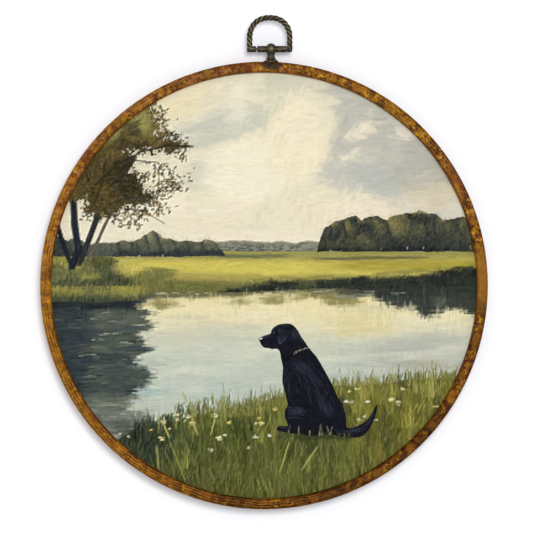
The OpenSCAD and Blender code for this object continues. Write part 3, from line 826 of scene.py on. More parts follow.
# Fine lines on the dog: light on the ear's rim, the neck, the shoulder, the thigh and the tail.
# The collar has a line of its own.
SHEEN = [[(13.9, -26.6), (12.8, -29.6), (10.9, -31.8)], [(7.4, -82.4), (9.4, -82.9), (11.8, -82.6)],
         [(17.2, -44.4), (20.6, -47.6), (23.2, -51.6)], [(23.0, -56.0), (25.4, -61.0), (26.6, -66.0)],
         [(8.8, -24.6), (8.2, -28.4), (8.4, -32.2), (9.2, -33.0), (10.8, -31.2), (12.4, -29.4)],
         [(9.8, -25.4), (9.4, -28.6), (9.6, -30.4)],
         [(5.0, -25.4), (6.4, -24.1), (8.4, -23.1), (11.4, -22.6), (14.2, -22.8)],
         [(16.8, -24.6), (19.0, -28.0), (21.4, -31.8)], [(14.8, -24.8), (17.0, -28.4), (18.8, -32.0)],
         [(19.4, -28.0), (22.6, -33.2)], [(-0.8, -29.8), (1.4, -29.0), (3.6, -28.2)],
         [(0.4, -33.6), (3.4, -34.4), (6.4, -34.0)], [(11.6, -46.0), (11.4, -50.4), (11.8, -55.0)],
         [(13.4, -45.6), (12.9, -50.0)], [(14.6, -49.0), (17.0, -53.0), (18.6, -58.0), (19.4, -62.0)],
         [(18.0, -47.0), (21.6, -50.2), (24.4, -54.4), (26.0, -59.0)],
         [(21.6, -44.6), (25.8, -47.8), (29.2, -52.0), (31.4, -57.0)],
         [(25.0, -42.4), (29.0, -46.0), (33.2, -51.6), (36.4, -57.4)],
         [(16.0, -47.0), (19.4, -51.6), (21.6, -57.0)],
         [(27.0, -53.0), (29.6, -57.6), (32.2, -63.4), (34.4, -69.6)],
         [(30.2, -51.6), (33.6, -57.4), (36.6, -64.2), (38.4, -71.0)],
         [(33.0, -65.0), (34.6, -70.0), (36.2, -74.0)], [(36.4, -60.0), (39.2, -66.0), (40.6, -72.4)],
         [(29.0, -60.0), (31.4, -66.0), (33.0, -72.0)], [(13.6, -69.6), (17.0, -69.0), (21.0, -69.8)],
         [(12.9, -71.2), (17.0, -70.8), (22.0, -71.6)], [(12.8, -73.2), (17.5, -72.8), (22.4, -73.6)],
         [(13.4, -75.4), (18.0, -75.0), (22.0, -75.8)],
         [(40.6, -82.0), (45.0, -83.0), (50.0, -82.8), (55.0, -80.9), (59.0, -77.6), (62.2, -72.6)],
         [(41.2, -83.6), (46.0, -84.7), (51.0, -84.6)], [(53.0, -83.4), (57.4, -80.8), (60.6, -76.6)],
         [(8.8, -80.8), (11.4, -80.8), (13.4, -81.4)], [(14.0, -57.0), (14.4, -62.0), (15.6, -66.0)]]
COLLAR = [(10.0, -43.0), (13.0, -41.8), (15.8, -39.6), (18.0, -38.0), (20.6, -36.7), (24.6, -35.6)]


# ---- Printed canvas: its mesh and material -----------------------------------
# One flat sheet as fine as the brush strokes. The paint is a colour on each vertex;
# the dog has its own colours and a distance from its outline, which keeps its edge crisp.
pitch = 0.702
half = int(canvas_r / pitch) + 1
ticks = np.arange(-half, half + 1) * pitch
gx, gz = np.meshgrid(ticks, ticks)
radius = np.hypot(gx, gz)
inner = radius < canvas_r - 0.25 * pitch
touched = inner[:-1, :-1] | inner[1:, :-1] | inner[:-1, 1:] | inner[1:, 1:]
row, column = np.nonzero(touched)
width = len(ticks)
corner = row * width + column
cells = np.stack([corner, corner + 1, corner + width + 1, corner + width], axis=1)
shrink = np.where(inner, 1.0, canvas_r / np.maximum(radius, 1e-6))
flat_x, flat_z = (gx * shrink).ravel(), (gz * shrink).ravel()
used, cells = np.unique(cells, return_inverse=True)
cells = cells.reshape(-1, 4)
flat_x, flat_z = flat_x[used], flat_z[used]


def painted(picture):
    """The picture's colours at the sheet's vertices, a little sharpened, as linear RGBA."""
    padded = np.pad(picture, ((2, 2), (2, 2), (0, 0)), "edge")
    rows, columns = picture.shape[:2]
    blurred = sum(padded[i:i + rows, j:j + columns] for i in range(5) for j in range(5)) / 25
    picture = np.clip(picture + 0.9 * (picture - blurred), 0, 255)
    u, v = (flat_x - span[0]) / STEP, (flat_z - span[0]) / STEP
    iu, iv = (np.clip(np.floor(w).astype(int), 0, len(span) - 2) for w in (u, v))
    fu, fv = (u - iu)[:, None], (v - iv)[:, None]
    rgb = ((picture[iv, iu] * (1 - fu) + picture[iv, iu + 1] * fu) * (1 - fv)
           + (picture[iv + 1, iu] * (1 - fu) + picture[iv + 1, iu + 1] * fu) * fv) / 255
    rgb = np.clip(rgb, 0, 1)
    rgb = np.where(rgb <= 0.04045, rgb / 12.92, ((rgb + 0.055) / 1.055) ** 2.4)
    return np.concatenate([rgb, np.ones((len(rgb), 1))], axis=1).astype(np.float32)


sheet_mesh = bpy.data.meshes.new("canvas_sheet")
spots = np.stack([flat_x / 1000, np.full(len(flat_x), front_y), flat_z / 1000], axis=1)
sheet_mesh.from_pydata(spots.tolist(), [], cells.tolist())
for name, picture in (("paint", art), ("front_paint", front), ("dog_paint", dog_art)):
    layer = sheet_mesh.attributes.new(name, "FLOAT_COLOR", "POINT")
    layer.data.foreach_set("color", painted(picture).ravel())
near = np.hypot(flat_x - 30, flat_z + 54) < 52
edge = np.full(len(flat_x), -5.0, np.float32)
edge[near] = np.clip(depth_in(flat_x[near], flat_z[near], DOG), -5, 5)
sheen_line, collar_line = np.full((2, len(flat_x)), 5.0)
sheen_line[near] = near_lines(flat_x[near], flat_z[near], SHEEN)
collar_line[near] = near_lines(flat_x[near], flat_z[near], [COLLAR])
bank_edge = height_of(flat_x, BANK) - flat_z
loose = soft(flat_x, -82, -60) * soft(flat_x, -34, -38)
crown_edge = np.where(flat_x < -34, 13 * crown_depth(flat_x, flat_z), -20)
crown_edge = crown_edge * (1 - 0.35 * loose) - 0.8 * loose
lumps = 1.4 * cloudy(flat_x, flat_z, 5.5, 32, 4)


def wood_edge(points, foot):
    """Distance inside a row of trees, from its top, its foot and its two ends."""
    level = np.minimum(height_of(flat_x, points) + lumps - flat_z, flat_z - foot - 0.3 * lumps)
    return np.minimum(level, np.minimum(flat_x - points[0][0], points[-1][0] - flat_x))


tree_edge = np.maximum(wood_edge(CLUMP, 16.4), wood_edge(TREELINE, 19.2))
front_edge = np.maximum(np.maximum(bank_edge, crown_edge), tree_edge)
leafy = np.maximum(soft(crown_edge, -8, -1) * (1 - 0.55 * soft(crown_edge, 1.5, 6)),
                   0.55 * soft(tree_edge, -4, -0.5))
ragged = soft(crown_edge, -12, -4) * (4.5 + 3.5 * loose)
ragged = ragged + soft(tree_edge, -4, -1) * soft(flat_z, 20.5, 23) * 0.45
blades = soft(bank_edge, -12, -6)
for name, values in (("dog_edge", edge), ("sheen_line", sheen_line), ("collar_line", collar_line),
                     ("front_edge", front_edge.clip(-9, 9)), ("leafy", leafy), ("ragged", ragged),
                     ("blades", blades)):
    layer = sheet_mesh.attributes.new(name, "FLOAT", "POINT")
    layer.data.foreach_set("value", values.astype(np.float32))
print("canvas faces", len(sheet_mesh.polygons) * 2)

canvas_mat, surface, place = new_material("canvas_paint")
paint, front_paint, dog_paint = (place.node("Attribute", {"attribute_name": name})
                                 for name in ("paint", "front_paint", "dog_paint"))
dog_edge, sheen_line, collar_line, front_edge, leafy, ragged, blades = (
    place.node("Attribute", {"attribute_name": name}, out=2)
    for name in ("dog_edge", "sheen_line", "collar_line", "front_edge", "leafy", "ragged", "blades"))
x, y, z = place.xyz()
leaf = place.noise(place, 540, 2.5, 0.6)
leaf_cell = place.node("TexVoronoi", {"feature": "F1"}, {"Vector": place, "Scale": 760.0}, out=0)
stalk = place.noise(place.point(x * 1100 + z * 60, y, z * 90), 1.0, 3, 0.6)
level_hair = place.noise(place.point(x * 170, y, z * 1500), 1.0, 4, 0.65)
upright_hair = place.noise(place.point(x * 1500, y, z * 200), 1.0, 4, 0.65)
brushed = place.noise(place, 1900, 3, 0.7)
hair = level_hair * (1 - blades) + upright_hair * blades
hair = hair * (1 - leafy * 0.7) + brushed * leafy * 0.7
clumped = place.noise(place.point(x * 60, y, z * 20), 1.0, 2).step(0.38, 0.62)
front_cut = front_edge + (leaf - 0.5) * ragged * 3.2 + (stalk - 0.56) * blades * (clumped * 11 + 4)
picture = place.mix(front_cut.step(-0.15, 0.3), paint, front_paint)
picture = place.mix(((leaf + leaf_cell * 0.5 - 0.86).step(0.0, 0.12) * leafy * 0.5), picture,
                    colour(150, 136, 84), "SOFT_LIGHT")
picture = place.mix(((0.5 - leaf).step(0.02, 0.14) * leafy * 0.38), picture, colour(84, 76, 60), "MULTIPLY")
thick_set = place.noise(place, 90, 2).step(0.4, 0.6)
picture = place.mix((stalk.step(0.54, 0.68) * blades * thick_set * 0.4), picture, colour(206, 204, 130),
                    "SOFT_LIGHT")
picture = place.mix(((0.48 - stalk).step(0.0, 0.14) * blades * thick_set * 0.45), picture,
                    colour(92, 98, 62), "MULTIPLY")
fur = place.noise(place.point((x * 0.5 - z * 0.87) * 260, y, (x * 0.87 + z * 0.5) * 1700), 1.0, 4, 0.65)
coat_tone = place.mix((fur - 0.5).step(0.04, 0.22) * 0.22, dog_paint, colour(62, 68, 90))
coat_tone = place.mix((0.5 - fur).step(0.0, 0.16) * 0.6, coat_tone, colour(8, 9, 14))
shine = (0.6 - sheen_line).step(0.0, 0.45) * fur.step(0.38, 0.58)
shine = shine * place.noise(place, 240, 2).step(0.3, 0.56)
coat_tone = place.mix(shine * 0.42, coat_tone, colour(70, 75, 92))
coat_tone = place.mix((1.15 - collar_line).step(0.0, 0.2), coat_tone, colour(11, 11, 15))
studs = place.noise(place, 1500, 1).step(0.46, 0.6) * (0.75 - collar_line).step(0.0, 0.3)
studs = studs * (x - 0.0165).step(0.0, 0.001)
coat_tone = place.mix(studs * 0.85, coat_tone, colour(168, 160, 156))
dog_cut = dog_edge + (brushed - 0.5) * 0.7
picture = place.mix(dog_cut.step(-0.12, 0.16), picture, coat_tone)
picture = place.mix(hair.step(0.48, 0.75) * 0.2, picture, colour(226, 222, 206), "SOFT_LIGHT")
picture = place.mix((0.52 - hair).step(0.0, 0.3) * 0.4, picture, colour(196, 192, 180), "MULTIPLY")
weave = place.maths("SINE", x * 6800) * place.maths("SINE", z * 6800)
height = hair * 0.8 + weave * 0.12
plug(surface, Base_Color=picture, Roughness=(hair * 0.2 + 0.6), Specular_IOR_Level=0.06,
     Normal=place.bump(height, 0.35, 0.0004))
sheet_mesh.materials.append(canvas_mat)
canvas = new_object("canvas_sheet", sheet_mesh)
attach(canvas, "frame")
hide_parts("canvas_print")


# ---- Wooden ring -------------------------------------------------------------
# Turned from burled wood and stained amber, with a satin finish. The grain runs along the
# ring on the left and at the lower left, and turns to burl and eyes on the right.
ring_mat, surface, place = new_material("amber_burl")
x, y, z = place.xyz()
radius = place.maths("SQRT", x * x + z * z)
around_x, around_z = x / radius, z / radius
ring_middle = 0.124
across = (radius - ring_middle) * 1000
drift = place.noise(place, 24, 2) - 0.5
warp = place.noise(place, 110, 3) - 0.5
mottle = place.noise(place, 330, 5, 0.68)
along = place.point(around_x * 9 + warp * 0.5, around_z * 9 + warp * 0.5, across * 0.75 + warp * 1.6)
grain = place.noise(along, 2.6, 5, 0.62, w=y * 380)
fine = place.noise(place.point(around_x * 30, around_z * 30, across * 2.2 + warp), 2.4, 4, 0.65, w=y * 900)
twist = place.node("VectorMath", {"operation": "MULTIPLY_ADD"}, {0: place.node("TexNoise", {}, {
    "Vector": place, "Scale": 150.0, "Detail": 2.0}, out=1), 1: (0.006, 0.006, 0.006), 2: place})
eyes = place.node("TexVoronoi", {"feature": "F1"}, {"Vector": twist, "Scale": 170.0, "Randomness": 1.0},
                  out=0)
rings = place.maths("SINE", eyes * 24 + warp * 8) * 0.5 + 0.5
burl_share = (around_x * 0.5 - around_z * 0.2 + drift * 2.4 + 0.1).step(-0.1, 0.7)
streaky = (0 - around_x * 0.6 - around_z * 0.7 + drift * 1.6).step(0.1, 0.8)
figure = mottle * (1 - streaky * 0.6) + grain * streaky * 0.6
figure = figure * (1 - burl_share * 0.3) + (rings * 0.35 + fine * 0.65) * burl_share * 0.3
low_patch = (0.2 - place.maths("ABSOLUTE", around_x + 0.15)).step(0.0, 0.12) * (0 - around_z).step(0.5, 0.8)
dim = (around_x * 0.7 - around_z * 0.7 + drift * 1.6).step(0.6, 1.05) + low_patch * 0.7
dim = dim + (0.2 - place.maths("ABSOLUTE", around_z + 0.32)).step(0.0, 0.12) * around_x.step(0.5, 0.8) * 0.6
top_share = around_z.step(0.86, 0.98)
patch = place.noise(place, 250, 3.5, 0.6) * (1 - top_share) + place.noise(place, 560, 3, 0.6) * top_share
spots = place.noise(place, 340, 3, 0.6, w=4.0)
lines = place.maths("SINE", across * 4.2 + warp * 10 + drift * 20 + (fine - 0.5) * 7)
lined = streaky * 0.8 + (place.noise(place, 60, 2) - 0.46).step(0.0, 0.1) * 0.45
tone = place.mix((patch * 0.75 + figure * 0.25).step(0.42, 0.57), colour(76, 38, 8), colour(164, 107, 18))
tone = place.mix(spots.step(0.54, 0.64) * 0.8, tone, colour(212, 158, 38))
tone = place.mix((0.47 - spots).step(0.0, 0.1) * 0.6, tone, colour(112, 52, 20))
tone = place.mix(lines.step(0.3, 0.9) * lined * 0.6, tone, colour(66, 32, 8))
tone = place.mix((0 - lines).step(0.4, 0.95) * lined * 0.55, tone, colour(208, 152, 44))
left = (0 - around_x - around_z * 0.2 + drift).step(0.3, 1.1)
tone = place.mix(left * 0.22 * fine.step(0.36, 0.56), tone, colour(196, 134, 40))
upper_left = (around_z * 0.75 - around_x * 0.6 + drift * 1.4).step(0.45, 1.0)
tone = place.mix(upper_left * (0.52 - mottle + warp * 0.4).step(0.0, 0.12) * 0.7, tone, colour(92, 38, 16))
tone = place.mix(upper_left * (mottle - 0.5 - warp * 0.3).step(0.0, 0.1) * 0.5, tone, colour(156, 98, 72))
tone = place.mix((0.48 - fine + warp * 0.3).step(0.01, 0.1) * 0.8, tone, colour(62, 32, 8))
tone = place.mix((drift + warp * 0.8).step(0.08, 0.3) * 0.45, tone, colour(116, 98, 14))
tone = place.mix((0 - drift + warp * 0.9 + around_z * 0.1).step(0.1, 0.34) * 0.45, tone,
                 colour(110, 50, 30))
# Painted shade along the inner rim and the outer rim on the right, and a faint painted highlight on the
# outer rim on the left, where the face rounds over.
tone = place.mix((0 - across - 1.6 + warp * 2.5).step(0.0, 1.4) * 0.5, tone, colour(84, 34, 10))
right_rim_shade = (across - 0.8 + warp * 3).step(0.0, 2.0) * around_x.step(0.1, 0.8)
tone = place.mix(right_rim_shade * 0.4, tone, colour(70, 38, 8))
left_rim_highlight = (across - 0.2 + warp * 3).step(0.0, 2.0) * (0 - around_x).step(0.3, 0.9)
tone = place.mix(left_rim_highlight * 0.15, tone, colour(196, 142, 50))
specks = place.noise(place, 1500, 2)
tone = place.mix((0.42 - specks).step(0.0, 0.06) * 0.7, tone, colour(40, 22, 8))
low_left = (0 - around_x * 0.45 - around_z * 0.9 + drift * 0.6).step(0.5, 0.85)
tone = place.mix(low_left * 0.34, tone, colour(170, 140, 120), "MULTIPLY")
tone = place.mix(dim * 0.66, tone, colour(128, 102, 76), "MULTIPLY")
pale_patch = (0.18 - place.maths("ABSOLUTE", around_z - 0.03)).step(0.0, 0.12) * around_x.step(0.5, 0.8)
tone = place.mix(pale_patch * 0.4, tone, colour(182, 124, 38))
# Painted shadow of the hanger's flange on the wood in front of it: dark, with paler grey streaks in its
# middle.
hanger_shadow_centre = (0.0041, 0.1248)
hanger_shadow_x = (x - hanger_shadow_centre[0]) * 1000 + warp * 3
hanger_shadow_z = (z - hanger_shadow_centre[1]) * 1000 + warp * 1.5
hanger_shadow = (1 - (hanger_shadow_x * hanger_shadow_x * hanger_shadow_x * hanger_shadow_x / 2200 + hanger_shadow_z * hanger_shadow_z / 11)).step(0.0, 0.9)
hanger_shadow_tone = place.mix(fine.step(0.46, 0.7), colour(30, 20, 12), colour(100, 86, 68))
tone = place.mix(hanger_shadow * 0.92, tone, hanger_shadow_tone)
plug(surface, Base_Color=tone, Roughness=(fine * 0.25 + 0.36), Specular_IOR_Level=0.07,
     Normal=place.bump(grain * 0.6 + fine * 0.4, 0.12, 0.0006))
dress("frame_ring", ring_mat)


# ---- Picture board -----------------------------------------------------------
# Medium-density fibreboard that the canvas is glued to: pale brown, with fine fibres.
board_mat, surface, place = new_material("fibreboard")
fibre = place.noise(place, 900, 5, 0.65)
cloud = place.noise(place, 60, 3)
tone = place.mix(fibre, colour(136, 104, 70), colour(188, 156, 116))
tone = place.mix(cloud * 0.35, tone, colour(150, 116, 82))
plug(surface, Base_Color=tone, Roughness=(fibre * 0.15 + 0.75), Normal=place.bump(fibre, 0.3, 0.0003))
dress("picture_board", board_mat)


# ---- Backing board -----------------------------------------------------------
# Tempered hardboard that closes the back: dark brown, smooth, with faint scuffs.
backing_mat, surface, place = new_material("hardboard")
fibre = place.noise(place, 1400, 4, 0.7)
mottle = place.noise(place, 45, 4, 0.6)
flecks = place.node("TexVoronoi", {"feature": "F1"}, {"Vector": place, "Scale": 700.0}, out=0)
scuff = place.noise(place.point(place.xyz()[0] * 900, place.xyz()[1], place.xyz()[2] * 60), 1.0, 3)
tone = place.mix(mottle, colour(96, 62, 38), colour(130, 90, 58))
tone = place.mix(fibre * 0.5, tone, colour(78, 48, 30))
tone = place.mix((0.16 - flecks).step(0.0, 0.1) * 0.5, tone, colour(158, 118, 82))
tone = place.mix((scuff - 0.66).step(0.0, 0.08) * 0.3, tone, colour(166, 130, 98))
plug(surface, Base_Color=tone, Roughness=(mottle * 0.2 + 0.42), Normal=place.bump(fibre, 0.2, 0.0002))
dress("backing_board", backing_mat)


# ---- Turn buttons ------------------------------------------------------------
# Four stamped brass buttons that hold the backing board; each turns on its own screw.
brass_mat, surface, place = new_material("brushed_brass")
x, y, z = place.xyz()
brushed = place.noise(place.point(x * 3000, y * 200, z * 260), 1.0, 3)
tarnish = place.noise(place, 260, 4, 0.6)
tone = place.mix(brushed * 0.5, colour(214, 178, 98), colour(176, 138, 68))
tone = place.mix((tarnish - 0.48).step(0.0, 0.22) * 0.55, tone, colour(120, 88, 44))
plug(surface, Base_Color=tone, Metallic=0.92, Roughness=(brushed * 0.18 + tarnish * 0.2 + 0.2),
     Normal=place.bump(brushed, 0.12, 0.0001))
for number in range(1, 5):
    dress(f"turn_button_{number}", brass_mat)


# ---- Turn-button screws ------------------------------------------------------
# Small cross-recess brass screws in the ring's back, driven until the buttons turn stiffly.
screw_mat, surface, place = new_material("screw_brass")
tarnish = place.noise(place, 500, 4, 0.6)
wear = place.noise(place, 2400, 2)
tone = place.mix(tarnish, colour(188, 152, 82), colour(132, 100, 52))
tone = place.mix((wear - 0.6).step(0.0, 0.1) * 0.5, tone, colour(228, 200, 130))
plug(surface, Base_Color=tone, Metallic=0.92, Roughness=(tarnish * 0.3 + 0.22),
     Normal=place.bump(wear, 0.1, 0.0001))
dress("button_screws", screw_mat)


# ---- Wall pads ---------------------------------------------------------------
# Four self-adhesive rubber pads that keep the ring off the wall.
pad_mat, surface, place = new_material("pad_rubber")
dust = place.noise(place, 900, 5, 0.7)
grey = place.noise(place, 150, 3)
tone = place.mix(grey, colour(38, 37, 36), colour(58, 56, 54))
tone = place.mix((dust - 0.55).step(0.0, 0.2) * 0.4, tone, colour(120, 116, 108))
plug(surface, Base_Color=tone, Roughness=(dust * 0.2 + 0.7), Normal=place.bump(dust, 0.25, 0.0002))
dress("wall_pads", pad_mat)


# ---- Hanger flange and post --------------------------------------------------
# Cast and blackened bronze: dark in the recesses, rubbed to a tan shine on the high places; the rope and
# the ball also carry painted shade and painted highlights.
bronze_mat, surface, place = new_material("antique_bronze")
cast = place.noise(place, 900, 4, 0.6)
patina = place.noise(place, 320, 4, 0.6)
rubbed = place.noise(place, 1500, 2)
groove = place.node("Attribute", {"attribute_name": "groove"}, out=2)
crest = place.node("Attribute", {"attribute_name": "crest"}, out=2)
tone = place.mix(patina.step(0.3, 0.7), colour(21, 19, 12), colour(56, 50, 33))
tone = place.mix((rubbed - 0.54 + patina * 0.2).step(0.0, 0.24) * 0.6, tone, colour(138, 124, 90))
tone = place.mix((0.44 - cast).step(0.0, 0.16) * 0.8, tone, colour(12, 10, 7))
# The rope's crests: rubbed tan wear, lightened further as a painted highlight.
tone = place.mix(crest.step(0.7, 1.0) * patina.step(0.34, 0.6) * 0.8, tone, colour(142, 128, 96))
# The rope's grooves: blackened patina, darkened to near black as painted shade between the strands.
tone = place.mix(groove.step(0.22, 0.62) * 0.94, tone, colour(7, 6, 4))
# Painted shade in the crease round the ball where it meets the barrel, and a painted highlight on the
# middle of the ball.
x, y, z = place.xyz()
post_x, pivot_z = 0.0039, 0.1344
ball_x, ball_z = (x - post_x) * 1000, (z - pivot_z) * 1000
ball = place.maths("SQRT", ball_x * ball_x + ball_z * ball_z)
near_ball = (0.009 - place.maths("ABSOLUTE", x - post_x)).step(0.0, 0.001) * (z - 0.1290).step(0.0, 0.001)
near_ball = near_ball * (0.1390 - z).step(0.0, 0.001)
tone = place.mix((0.5 - place.maths("ABSOLUTE", ball - 3.4)).step(0.0, 0.4) * near_ball * 0.85, tone,
                 colour(9, 8, 6))
tone = place.mix((2.9 - ball).step(0.0, 2.4) * near_ball * 0.4, tone, colour(124, 112, 80))
plug(surface, Base_Color=tone, Metallic=0.6, Roughness=(cast * 0.25 + 0.36),
     Normal=place.bump(cast, 0.3, 0.0002))
dress("hanger_flange", bronze_mat)
dress("hanger_post", bronze_mat)


# ---- Bail --------------------------------------------------------------------
# Four bronze strands laid into a rope and bent to a D; its two stubs ride on the pivot pin.
# The rope is one lobed profile that turns as it follows the path, in its Geometry Nodes.
low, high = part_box("bail")
bar = 0.0033
stub_r = 0.00175
middle, bail_y, stub_z = (low.x + high.x) / 2, (low.y + high.y) / 2, low.z + stub_r
arm = (high.x - low.x - bar) / 2
crown = high.z - bar / 2 - arm
bend = np.linspace(math.pi, 0, 61)[1:-1]
squareness = 0.89
shoulder = [(arm * math.copysign(abs(math.cos(t)) ** squareness, math.cos(t)),
             crown + arm * math.sin(t) ** squareness) for t in bend]
path = [(-arm, stub_z - 0.0002), (-arm, crown)] + shoulder + [(arm, crown), (arm, stub_z - 0.0009)]
bail_curve = bpy.data.curves.new("bail_path", "CURVE")
bail_curve.dimensions = "3D"
spline = bail_curve.splines.new("POLY")
spline.points.add(len(path) - 1)
for point, (x, z) in zip(spline.points, path):
    point.co = (middle + x, bail_y, z, 1)
guide = new_object("bail_guide", bail_curve)

lay_rope = bpy.data.node_groups.new("lay_rope", "GeometryNodeTree")
lay_rope.interface.new_socket("Geometry", in_out="INPUT", socket_type="NodeSocketGeometry")
rope_inputs = {}
for name in ("Rope Radius", "Groove", "Strands", "Pitch"):
    socket = lay_rope.interface.new_socket(name, in_out="INPUT", socket_type="NodeSocketFloat")
    rope_inputs[name] = socket.identifier
lay_rope.interface.new_socket("Geometry", in_out="OUTPUT", socket_type="NodeSocketGeometry")
rope_in = lay_rope.nodes.new("NodeGroupInput")


def rope_node(kind, settings=(), **sockets):
    """One node of the rope's tree; sockets are plain numbers or outputs of other nodes."""
    made = lay_rope.nodes.new(kind)
    for name, value in dict(settings).items():
        setattr(made, name, value)
    for name, value in sockets.items():
        key = int(name[1:]) if name[1:].isdigit() else name.replace("_", " ")
        if isinstance(value, bpy.types.NodeSocket):
            lay_rope.links.new(value, made.inputs[key])
        else:
            made.inputs[key].default_value = value
    return made.outputs


def rope_sum(operation, a, b=0.0):
    return rope_node("ShaderNodeMath", {"operation": operation}, _0=a, _1=b)[0]


rope_sides = 64
resampled = rope_node("GeometryNodeResampleCurve", {"mode": "LENGTH"}, Curve=rope_in.outputs["Geometry"],
                      Length=0.0002)[0]
run = rope_node("GeometryNodeSplineParameter")["Length"]
turn = rope_sum("MULTIPLY", rope_sum("DIVIDE", run, rope_in.outputs["Pitch"]), 2 * math.pi)
tilted = rope_node("GeometryNodeSetCurveTilt", Curve=resampled, Tilt=turn)[0]
ring_line = rope_node("GeometryNodeCurvePrimitiveCircle", Resolution=rope_sides,
                      Radius=rope_in.outputs["Rope Radius"])[0]
step_angle = rope_sum("MULTIPLY", rope_node("GeometryNodeInputIndex")[0], 2 * math.pi / rope_sides)
lobe_angle = rope_sum("MULTIPLY", step_angle, rope_sum("MULTIPLY", rope_in.outputs["Strands"], 0.5))
lobe = rope_sum("ABSOLUTE", rope_sum("COSINE", lobe_angle))
valley = rope_sum("SUBTRACT", 1.0, rope_sum("POWER", lobe, 0.75))
depth = rope_sum("MULTIPLY", valley, rope_in.outputs["Groove"])
here = rope_node("GeometryNodeInputPosition")[0]
shrunk = rope_sum("SUBTRACT", 1.0, depth)
scaled = rope_node("ShaderNodeVectorMath", {"operation": "SCALE"}, _0=here, Scale=shrunk)[0]
# The groove and crest marks stored here carry the painted shade and the painted highlight into the bronze
# material.
marked = rope_node("GeometryNodeStoreNamedAttribute", Geometry=ring_line, Name="groove", Value=valley)[0]
profile = rope_node("GeometryNodeSetPosition", Geometry=marked, Position=scaled)[0]
profile = rope_node("GeometryNodeStoreNamedAttribute", Geometry=profile, Name="crest", Value=lobe)[0]
tube = rope_node("GeometryNodeCurveToMesh", Curve=tilted, Profile_Curve=profile, Fill_Caps=True)[0]
real = rope_node("GeometryNodeRealizeInstances", Geometry=tube)[0]
finished = rope_node("GeometryNodeSetMaterial", Geometry=real, Material=bronze_mat)[0]
lay_rope.links.new(finished, lay_rope.nodes.new("NodeGroupOutput").inputs[0])
laid = guide.modifiers.new("rope", "NODES")
laid.node_group = lay_rope
for name, value in (("Rope Radius", bar / 2), ("Groove", 0.42), ("Strands", 4.0), ("Pitch", -0.0115)):
    laid[rope_inputs[name]] = value
bpy.context.view_layer.update()
rope_mesh = bpy.data.meshes.new_from_object(guide.evaluated_get(bpy.context.evaluated_depsgraph_get()))
bpy.data.objects.remove(guide)

# The stubs: short turned pieces with a worn rim, the right one ringed beside the post.
stubs = bmesh.new()
stubs.from_mesh(rope_mesh)
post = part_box("hanger_post")
post_left, post_right = post[0].x, post[1].x
left_stub = [(low.x + 0.0002, 0.0), (low.x + 0.0002, 0.0013), (low.x + 0.0006, 0.0017),
             (low.x + 0.0012, stub_r), (post_left - 0.0011, stub_r), (post_left - 0.0008, 0.0017),
             (post_left - 0.00062, 0.0013), (post_left - 0.00062, 0.0)]
right_stub = [(post_right + 0.00012, 0.0), (post_right + 0.00012, 0.0014), (post_right + 0.0003, stub_r),
              (post_right + 0.0006, stub_r), (post_right + 0.0008, 0.0015), (post_right + 0.001, 0.0015),
              (post_right + 0.0012, stub_r), (high.x - 0.0012, stub_r), (high.x - 0.0006, 0.0016),
              (high.x - 0.0002, 0.0011), (high.x - 0.0002, 0.0)]
stub_sides = 40
for turned in (left_stub, right_stub):
    loops = []
    for x, r in turned:
        loops.append([stubs.verts.new((x, bail_y + r * math.cos(a), stub_z + r * math.sin(a)))
                      for a in np.arange(stub_sides) * math.pi / (stub_sides / 2)])
    for one, other in zip(loops, loops[1:]):
        for i in range(stub_sides):
            stubs.faces.new((one[i], one[i - 1], other[i - 1], other[i]))
bmesh.ops.remove_doubles(stubs, verts=stubs.verts, dist=1e-7)
bmesh.ops.recalc_face_normals(stubs, faces=stubs.faces)
for face in stubs.faces:
    face.smooth = True
stubs.to_mesh(rope_mesh)
stubs.free()
rope_mesh.materials.clear()
rope_mesh.materials.append(bronze_mat)
rope = new_object("bail_rope", rope_mesh)
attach(rope, "bail_loop")
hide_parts("bail")


# ---- Hanger screw ------------------------------------------------------------
# Slotted steel screw from inside the rebate, through ring and flange, up into the post.
steel_mat, surface, place = new_material("plain_steel")
scratch = place.noise(place, 1800, 3)
film = place.noise(place, 300, 4, 0.6)
tone = place.mix(film, colour(150, 148, 142), colour(108, 106, 100))
plug(surface, Base_Color=tone, Metallic=0.95, Roughness=(film * 0.25 + scratch * 0.1 + 0.2),
     Normal=place.bump(scratch, 0.15, 0.0001))
dress("hanger_screw", steel_mat)


# ---- Pivot pin ---------------------------------------------------------------
# Darkened steel pin through the barrel; it shows only in the gap beside the bail's stub.
pin_mat, surface, place = new_material("pin_steel")
film = place.noise(place, 700, 4, 0.6)
tone = place.mix(film, colour(70, 64, 54), colour(116, 108, 94))
plug(surface, Base_Color=tone, Metallic=0.9, Roughness=(film * 0.3 + 0.25),
     Normal=place.bump(film, 0.15, 0.0001))
dress("pivot_pin", pin_mat)


# ---- Stage: wall, floor, light and camera ------------------------------------
# A white wall just behind the picture, seen only by the camera and only from the front,
# so the back stays lit and can be looked at; a pale floor lies well below.
wall_mat = bpy.data.materials.new("white_wall")
wall_mat.use_nodes = True
tree = wall_mat.node_tree
wall_surface = tree.nodes["Principled BSDF"]
wall_surface.inputs["Base Color"].default_value = (0.97, 0.97, 0.98, 1)
wall_surface.inputs["Roughness"].default_value = 0.95
wall_surface.inputs["Specular IOR Level"].default_value = 0.0
wall_surface.inputs["Emission Color"].default_value = (0.6, 0.74, 1, 1)
wall_surface.inputs["Emission Strength"].default_value = 0.12
facing = tree.nodes.new("ShaderNodeNewGeometry")
clear = tree.nodes.new("ShaderNodeBsdfTransparent")
either = tree.nodes.new("ShaderNodeMixShader")
tree.links.new(facing.outputs["Backfacing"], either.inputs[0])
tree.links.new(wall_surface.outputs[0], either.inputs[1])
tree.links.new(clear.outputs[0], either.inputs[2])
tree.links.new(either.outputs[0], tree.nodes["Material Output"].inputs["Surface"])
wall_mesh = bpy.data.meshes.new("wall")
wall_y, wall_foot = 0.0003, -0.245
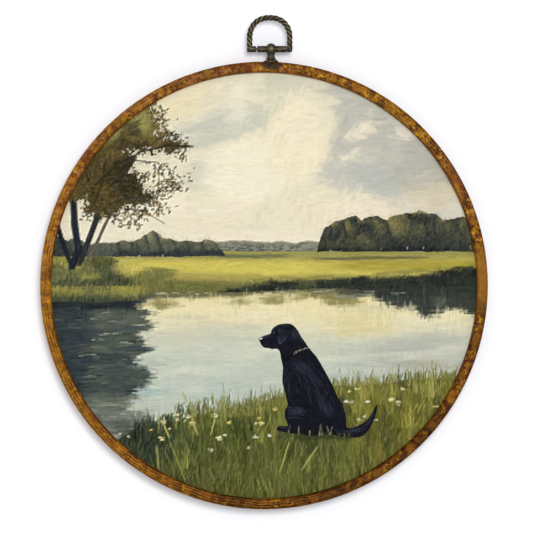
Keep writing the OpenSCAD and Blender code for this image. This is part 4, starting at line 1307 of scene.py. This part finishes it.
wall_corners = [(-0.6, wall_y, wall_foot), (0.6, wall_y, wall_foot), (0.6, wall_y, 0.6),
                (-0.6, wall_y, 0.6)]
wall_mesh.from_pydata(wall_corners, [], [(0, 1, 2, 3)])
wall_mesh.materials.append(wall_mat)
wall = new_object("wall", wall_mesh)
wall.visible_diffuse = wall.visible_glossy = wall.visible_transmission = wall.visible_shadow = False

floor_mat, surface, place = new_material("pale_floor")
plug(surface, Base_Color=(0.8, 0.79, 0.77, 1), Roughness=0.8)
floor_mesh = bpy.data.meshes.new("floor")
floor_z = -0.25
floor_corners = [(-3, -3, floor_z), (3, -3, floor_z), (3, 3, floor_z), (-3, 3, floor_z)]
floor_mesh.from_pydata(floor_corners, [], [(0, 1, 2, 3)])
floor_mesh.materials.append(floor_mat)
floor = new_object("floor", floor_mesh)

world = bpy.data.worlds.new("studio")
bpy.context.scene.world = world
world.use_nodes = True
world.node_tree.nodes["Background"].inputs["Color"].default_value = (1.0, 1.0, 1.0, 1)
world.node_tree.nodes["Background"].inputs["Strength"].default_value = 0.5


def area_light(name, place, aim, size, watts, tint=(1, 1, 1)):
    data = bpy.data.lights.new(name, "AREA")
    data.shape = "DISK"
    data.size = size
    data.energy = watts
    data.color = tint
    lamp = bpy.data.objects.new(name, data)
    lamp.location = place
    away = np.array(place) - np.array(aim)
    lamp.rotation_euler = (math.acos(away[2] / np.linalg.norm(away)), 0, math.atan2(away[0], -away[1]))
    bpy.context.scene.collection.objects.link(lamp)
    return lamp


area_light("key", (0.24, -1.9, 0.42), (0, 0, 0), 0.62, 18.8)
area_light("back_fill", (-0.8, 1.6, 0.8), (0, 0, 0), 0.9, 14)

view = bpy.data.cameras.new("camera")
view.lens = 180
view.sensor_width = 36
camera = bpy.data.objects.new("camera", view)
camera.location = (0.0014, -1.524, 0.01075)
camera.rotation_euler = (math.radians(90), 0, 0)
bpy.context.scene.collection.objects.link(camera)
bpy.context.scene.camera = camera
bpy.context.scene.view_settings.view_transform = "Standard"
